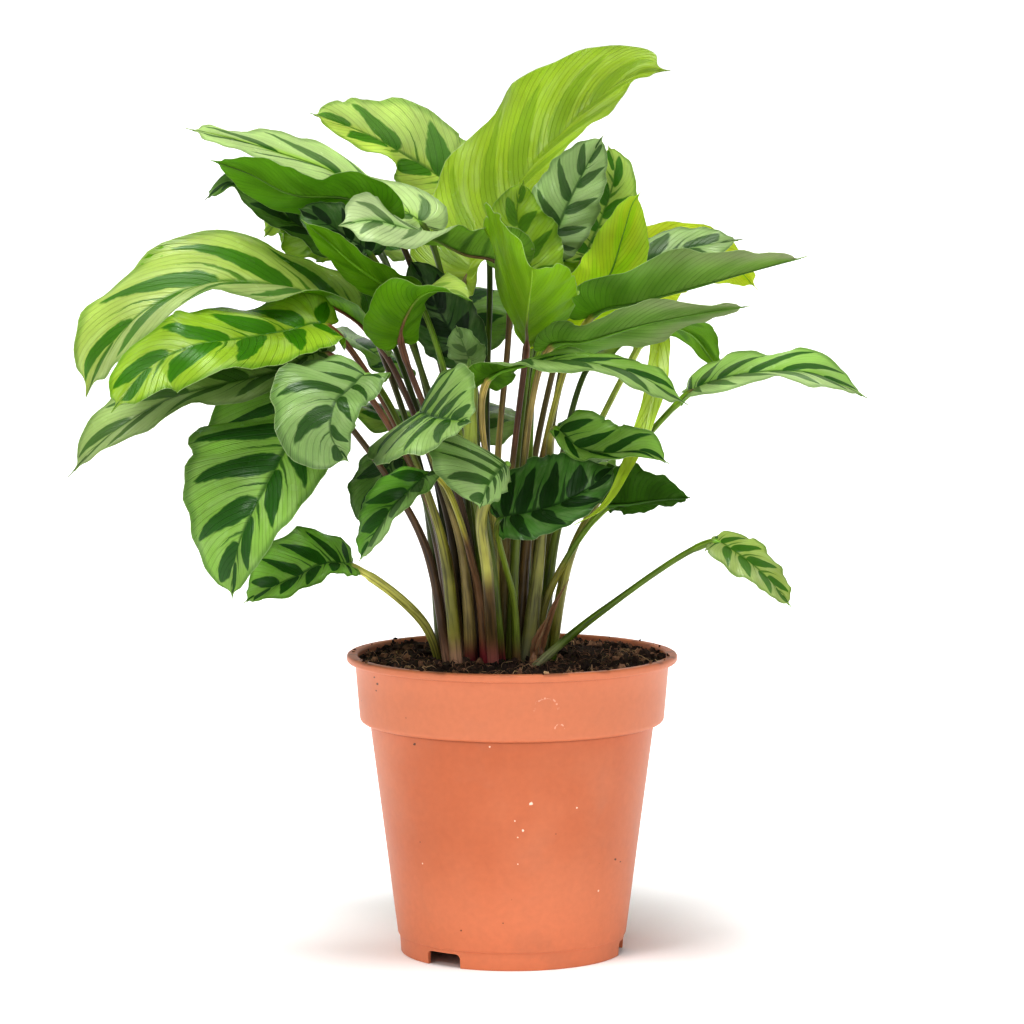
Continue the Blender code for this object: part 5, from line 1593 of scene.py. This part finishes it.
def blade_material():
    """Waxy striped blade that lets light through."""
    graph = Graph("leaf_blade")
    phase, reach, along = graph.split(graph.read("vein"))
    form = graph.split(graph.read("form"))
    below = form[2]
    side, right = abs(reach), reach > 0.0
    band = band_share(graph, phase, side, right, form)
    margin = graph.step(side, 0.84, 0.97, 0.0, 0.5)
    rib = graph.step(side, 0.01, 0.07, 0.8, 0.0)
    dark = graph.math("MAXIMUM", graph.math("MAXIMUM", band, margin), rib)
    ground = wax_and_sheen_ground(graph, phase, side, along, below)
    colour = graph.mix(dark, ground, graph.read("band", "Color"))
    colour = graph.mix(graph.step(side, 0.982, 1.0, 0.0, 0.7), colour, MARGIN_LINE)
    strong = graph.step(graph.math("PINGPONG", phase * STRONG_VEINS, 0.5), 0.0, 0.10)
    weak = graph.step(graph.math("PINGPONG", phase * WEAK_VEINS, 0.5), 0.0, 0.25)
    veins = (1.0 - (1.0 - strong) * (below * UNDER_VEIN + VEIN_DARK)) * (weak * 0.12 + 0.92)
    patch = graph.noise(graph.place(), scale=45.0, detail=4.0) * BLADE_PATCH + (1.0 - BLADE_PATCH / 2.0)
    colour = graph.shade(colour, veins * patch)
    rough = graph.noise(graph.place(), scale=120.0) * 0.24 + 0.11
    graph.set(
        Base_Color=colour,
        Roughness=below * 0.2 + rough,
        Specular_IOR_Level=below * (UNDER_SHINE - LEAF_SHINE) + LEAF_SHINE,
    )
    normal = graph.bump(weak * 0.35 + strong, 0.0003, 0.7)
    through = graph.node("ShaderNodeBsdfTranslucent")
    graph.wire(graph.mix(1.0, colour, GLOW_COLOUR, "MULTIPLY"), through.inputs["Color"])
    graph.wire(normal, through.inputs["Normal"])
    both = graph.node("ShaderNodeMixShader")
    for socket, source in zip(both.inputs, (GLOW_SHARE, graph.shader.outputs[0], through.outputs[0])):
        graph.wire(source, socket)
    graph.wire(both.outputs[0], graph.output.inputs["Surface"])
    return graph.slot


def stalk_material():
    """Smooth fibrous stalks with fine lengthwise lines."""
    graph = Graph("stalk")
    turn, along, _ = graph.split(graph.read("vein"))
    seed = graph.split(graph.read("form"))[0]
    ridge = graph.noise(graph.join(turn * 5.5, along, seed), scale=3.0, detail=4.0)
    line = graph.step(ridge, 0.42, 0.68)
    colour = graph.mix(line, graph.read("ground", "Color"), graph.read("band", "Color"))
    colour = graph.shade(colour, graph.noise(graph.place(), scale=70.0) * 1.5 + 0.3)
    graph.set(Base_Color=colour, Roughness=0.34, Specular_IOR_Level=0.3)
    graph.bump(ridge, 0.0003, 0.5)
    return graph.slot


def distance_to(x, z, middle):
    """Distance on the pot's front from a point in millimetres, across and up."""
    across, up = x - middle[0] * MM, z - middle[1] * MM
    return x.graph.math("SQRT", across**2.0 + up**2.0), up


def arc_mark(graph, x, z, middle, radius, width):
    """Thin broken scratch along part of a circle on the pot's front, from 0 to 1."""
    length, up = distance_to(x, z, middle)
    line = graph.step(abs(length - radius * MM), 0.0, width * MM, 1.0, 0.0)
    return line * graph.step(up, -0.2 * radius * MM, 0.3 * radius * MM)


def spot_mark(graph, x, z, spot):
    """Ragged speck at a place on the pot's front, from 0 to 1."""
    length, size = distance_to(x, z, spot)[0], spot[2] * MM
    ragged = graph.noise(graph.place(), scale=1400.0, detail=3.0) * 1.6 + 0.2
    return graph.step(length * ragged, 0.4 * size, 0.8 * size, 0.85, 0.0)


def worn_front(graph, base, place):
    """The pot's colour with the scuffs and specks of its front."""
    x, y, z = graph.split(place)
    front = y < 0.0
    scratches = [arc_mark(graph, x, z, *scratch) for scratch in SCRATCHES]
    scratch = graph.math("MAXIMUM", *scratches) * front
    scratch = scratch * graph.step(graph.noise(place, scale=700.0, detail=4.0), 0.46, 0.58)
    base = graph.mix(scratch * 0.35, base, SCUFF_COLOUR)
    for colour, spots in ((SCUFF_COLOUR, PALE_SPOTS), (SOIL_DARK, DARK_SPOTS)):
        for spot in spots:
            base = graph.mix(spot_mark(graph, x, z, spot) * front, base, colour)
    return base


def pot_material():
    """Moulded terracotta plastic with soil dust, scuffs and specks, and painted light: a paler collar, a
    lighter foot and painted shadow under the ledge and the lip.
    """
    graph = Graph("pot_plastic")
    place = graph.place()
    z = graph.split(place)[2]
    cloud = graph.noise(place, scale=14.0, detail=4.0)
    base = graph.mix(graph.step(cloud, 0.3, 0.7), POT_COLOUR, POT_PALE)
    # Painted light: the collar above the ledge is made paler, as if it caught more light than the body
    base = graph.mix(graph.step(z, LEDGE_HEIGHT * MM, (LEDGE_HEIGHT + 1.0) * MM), base, POT_PALE)
    # Painted bounce light: lighter towards the foot
    base = graph.mix(graph.step(z, 0.0, POT_BOUNCE_LIGHT_HEIGHT * MM, 1.0, 0.0), base, POT_BOUNCE_LIGHT_COLOUR)
    dust = graph.step(graph.noise(place, scale=60.0, detail=5.0), 0.52, 0.8) * 0.25
    base = worn_front(graph, graph.mix(dust, base, POT_DUST), place)
    # Painted shadow in a thin band under the ledge and under the lip
    for level, depth, strength in POT_EDGE_SHADOWS:
        near = graph.step(z, (level - depth) * MM, level * MM, 0.0, strength) * (z < level * MM)
        base = graph.mix(near, base, EDGE_SHADOW_COLOUR)
    base = graph.shade(base, graph.noise(place, scale=350.0, detail=4.0) * 0.16 + 0.92)
    for scale, size, colour, strength in POT_SPECKS:
        cell = graph.node("ShaderNodeTexVoronoi")
        cell.inputs["Scale"].default_value = scale
        graph.wire(place, cell.inputs["Vector"])
        dot = graph.step(cell.outputs["Distance"], size, size * 1.6, 1.0, 0.0)
        dot = dot * (graph.split(cell.outputs["Color"])[0] > SPECK_RARITY)
        base = graph.mix(dot * strength, base, colour)
    lip = graph.step(z, (POT_HEIGHT - 1.5) * MM, POT_HEIGHT * MM, 0.0, 0.45)
    dirt = graph.step(graph.noise(place, scale=90.0, detail=4.0), 0.50, 0.66)
    base = graph.mix(dirt * lip, base, SOIL_DARK)
    graph.set(Base_Color=base, Roughness=cloud * 0.2 + 0.36, Specular_IOR_Level=0.35)
    graph.bump(graph.noise(place, scale=420.0), 0.00006, 0.35)
    return graph.slot


def soil_material():
    """Damp peat: near black, rough, with brown grains."""
    graph = Graph("soil_peat")
    place = graph.place()
    grain = graph.noise(place, scale=700.0, detail=5.0)
    patch = graph.step(graph.noise(place, scale=160.0, detail=3.0), 0.56, 0.72, 0.0, 0.5)
    colour = graph.mix(patch, graph.read("ground", "Color"), SOIL_BROWN)
    colour = graph.shade(colour, grain * 1.8 + 0.2)
    graph.set(Base_Color=colour, Roughness=0.85, Specular_IOR_Level=0.2)
    graph.bump(grain, 0.0012, 0.8)
    return graph.slot


def floor_material():
    """Even white for the floor."""
    graph = Graph("floor_white")
    graph.set(Base_Color=(*FLOOR_COLOUR, 1.0), Roughness=0.9)
    return graph.slot


# Studio


def make_floor():
    """Wide white floor under the pot."""
    corners = [(-1, -1, 0), (1, -1, 0), (1, 1, 0), (-1, 1, 0)]
    floor = mesh_object("floor", np.array(corners) * FLOOR_SPREAD, [(0, 1, 2, 3)])
    floor.data.materials.append(floor_material())
    floor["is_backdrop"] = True


def add_light(lamp, place, direction):
    """Light in the studio that shines in a direction."""
    thing = bpy.data.objects.new(lamp.name, lamp)
    thing.location = place
    thing.rotation_euler = Vector(direction).to_track_quat("-Z", "Y").to_euler()
    SCENE.collection.objects.link(thing)
    thing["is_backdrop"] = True


def make_surround():
    """Surround that is white round the horizon and darker overhead."""
    world = bpy.data.worlds.new("studio")
    world.use_nodes = True
    nodes, links = world.node_tree.nodes, world.node_tree.links
    heading = nodes.new("ShaderNodeTexCoord")
    parts = nodes.new("ShaderNodeSeparateXYZ")
    height = nodes.new("ShaderNodeMapRange")
    height.interpolation_type = "SMOOTHSTEP"
    limits = (HORIZON_EDGE, ZENITH_EDGE, HORIZON_LIGHT, ZENITH_LIGHT)
    for socket, value in zip(height.inputs[1:], limits):
        socket.default_value = value
    links.new(heading.outputs["Generated"], parts.inputs[0])
    links.new(parts.outputs[2], height.inputs[0])
    links.new(height.outputs[0], nodes["Background"].inputs["Strength"])
    nodes["Background"].inputs["Color"].default_value = (1.0, 1.0, 1.0, 1.0)
    SCENE.world = world


def make_studio():
    """White surround, soft lights and the camera at the photograph's angle."""
    make_surround()
    key = bpy.data.lights.new("key_light", "SUN")
    key.energy, key.angle = KEY_STRENGTH, math.radians(KEY_WIDTH)
    add_light(key, (0.0, 0.0, 0.0), KEY_DIRECTION)
    for name, place, size, power in STUDIO_LIGHTS:
        lamp = bpy.data.lights.new(name, "AREA")
        lamp.shape = "RECTANGLE"
        lamp.size, lamp.size_y = size
        lamp.energy = power
        add_light(lamp, place, Vector(LIGHT_AIM) - Vector(place))
    camera = bpy.data.cameras.new("camera")
    camera.lens, camera.sensor_width = LENS, SENSOR
    camera.clip_end = 50.0
    thing = bpy.data.objects.new("camera", camera)
    thing.location = CAMERA_PLACE
    thing.rotation_euler = (math.radians(90.0 - CAMERA_DOWN), 0.0, 0.0)
    SCENE.collection.objects.link(thing)
    SCENE.camera = thing
    SCENE.view_settings.view_transform = "Standard"
    SCENE.view_settings.look = "None"
    SCENE.view_settings.exposure = EXPOSURE
    SCENE.view_settings.gamma = PICTURE_GAMMA


def main():
    """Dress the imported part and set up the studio."""
    blade, stalk, soil = blade_material(), stalk_material(), soil_material()
    make_leaves(blade, stalk)
    make_pot(pot_material())
    make_soil(soil)
    make_crumbs(soil)
    make_fibres(soil)
    make_floor()
    make_studio()
    sizes = {"cad": PACKED_BOX, "visual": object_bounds()}
    {key: [list(corner) for corner in box] for key, box in sizes.items()}


main()
